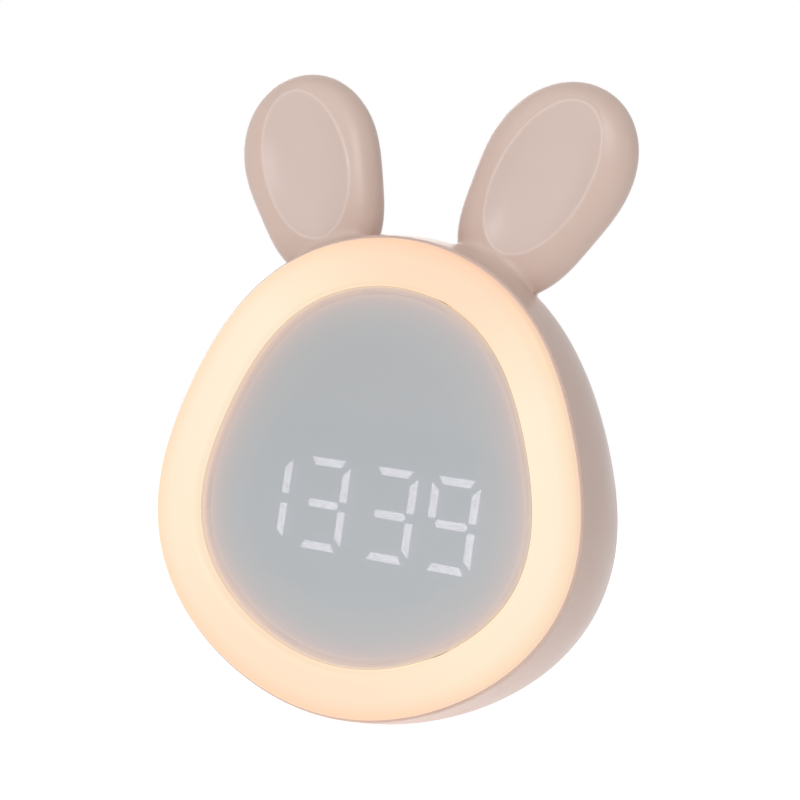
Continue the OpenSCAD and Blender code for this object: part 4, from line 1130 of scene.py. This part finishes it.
# ---------------------------------------------------------------- room, lamps and camera

# Light of the room, and the floor's: its bounce, what the camera sees of it, and the share that is shaded
ROOM_LIGHT, FLOOR_LIGHT, FLOOR_LIT, FLOOR_SHADE = 0.17, 0.47, 0.92, 0.36
# The floor rises to full white between these distances from the clock, in metres
FADE_START, FADE_END = 0.2, 0.9
FLOOR_HALF = 3.0


def by_ray(tree, unseen, seen):
    """One shader for the camera, reflections and views through the mirror, and another for all else."""
    path = add_node(tree, "ShaderNodeLightPath")
    first = add_node(tree, "ShaderNodeMath", operation="ADD")
    both = add_node(tree, "ShaderNodeMath", operation="ADD")
    mix = add_node(tree, "ShaderNodeMixShader")
    join(tree, (path, "Is Camera Ray", first, 0), (path, "Is Glossy Ray", first, 1),
         (path, "Is Transmission Ray", both, 1), (first, 0, both, 0), (both, 0, mix, "Fac"),
         (unseen, 0, mix, 1), (seen, 0, mix, 2))
    return mix.outputs[0]


def floor_finish():
    """White to the camera and in reflections, with the clock's shadow, and a soft bounce for the clock."""
    finish = bpy.data.materials.new("floor_white")
    finish.use_nodes = True
    tree = finish.node_tree
    tree.nodes.clear()
    place = add_node(tree, "ShaderNodeTexCoord")
    away = add_node(tree, "ShaderNodeVectorMath", operation="LENGTH")
    glow = add_node(tree, "ShaderNodeEmission")
    rise = map_range(tree, away.outputs["Value"], FADE_START, FADE_END, FLOOR_LIT, 1)
    tree.links.new(rise, glow.inputs["Strength"])
    shaded = add_node(tree, "ShaderNodeBsdfDiffuse", Color=(FLOOR_SHADE, FLOOR_SHADE, FLOOR_SHADE, 1))
    plain = add_node(tree, "ShaderNodeBsdfDiffuse", Color=(0.8, 0.8, 0.8, 1))
    bounce = add_node(tree, "ShaderNodeEmission", Strength=FLOOR_LIGHT)
    seen = add_node(tree, "ShaderNodeAddShader")
    unseen = add_node(tree, "ShaderNodeAddShader")
    join(tree, (place, "Object", away, 0), (glow, 0, seen, 0), (shaded, 0, seen, 1), (plain, 0, unseen, 0),
         (bounce, 0, unseen, 1))
    out = add_node(tree, "ShaderNodeOutputMaterial")
    tree.links.new(by_ray(tree, unseen, seen), out.inputs["Surface"])
    return finish


def make_room():
    """A white floor and an even white world that lights the clock softly."""
    corners = [(x * FLOOR_HALF, y * FLOOR_HALF, 0) for x, y in ((-1, -1), (1, -1), (1, 1), (-1, 1))]
    mesh = bpy.data.meshes.new("floor")
    mesh.from_pydata(corners, [], [(0, 1, 2, 3)])
    floor = bare_object("floor", mesh)
    mesh.materials.append(floor_finish())
    world = bpy.data.worlds.new("studio")
    bpy.context.scene.world = world
    world.use_nodes = True
    tree = world.node_tree
    tree.nodes.clear()
    out = add_node(tree, "ShaderNodeOutputWorld")
    room = add_node(tree, "ShaderNodeBackground", Color=(1, 1, 1, 1), Strength=ROOM_LIGHT)
    white = add_node(tree, "ShaderNodeBackground", Color=(1, 1, 1, 1), Strength=1.0)
    tree.links.new(by_ray(tree, room, white), out.inputs["Surface"])


# Square area lamps that point at LAMP_AIM: place, side and watts
LAMP_AIM = Vector((0, 0, 0.09))
LAMPS = {
    "key": ((0.326, -0.895, 0.64), 0.3, 2.4),
    "fill": ((-0.266, -0.731, 0.868), 1.0, 3.6),
    "back": ((-0.45, 0.85, 0.5), 0.8, 2.8),
}


def make_lamps():
    """A small key lamp for the highlights, a wide fill in front and a lamp behind."""
    for name, (place, side, watts) in LAMPS.items():
        lamp = bpy.data.lights.new(name, "AREA")
        lamp.shape, lamp.size, lamp.energy = "SQUARE", side, watts
        thing = bare_object(name, lamp)
        thing.location = place
        thing.rotation_euler = (LAMP_AIM - Vector(place)).to_track_quat("-Z", "Y").to_euler()


CAMERA_PLACE = Vector((0.11245, -0.30698, 0.07409))
CAMERA_TURN, CAMERA_RISE, CAMERA_ROLL = math.radians(20.72), math.radians(1.79), math.radians(8.15)
CAMERA_LENS = 53.73


def make_camera():
    """The camera: turned to the left, tipped up a little and rolled."""
    lens = bpy.data.cameras.new("camera")
    lens.lens, lens.sensor_width, lens.clip_start = CAMERA_LENS, 36, 0.01
    camera = bare_object("camera", lens)
    flat = math.cos(CAMERA_RISE)
    ahead = Vector((-math.sin(CAMERA_TURN) * flat, math.cos(CAMERA_TURN) * flat, math.sin(CAMERA_RISE)))
    level = ahead.cross(Vector((0, 0, 1))).normalized()
    upright = level.cross(ahead)
    right = level * math.cos(CAMERA_ROLL) + upright * math.sin(CAMERA_ROLL)
    up = upright * math.cos(CAMERA_ROLL) - level * math.sin(CAMERA_ROLL)
    camera.matrix_world = Matrix.Translation(CAMERA_PLACE) @ Matrix((right, up, -ahead)).transposed().to_4x4()
    bpy.context.scene.camera = camera


make_room()
make_lamps()
make_camera()
bpy.context.scene.view_settings.view_transform = "Standard"
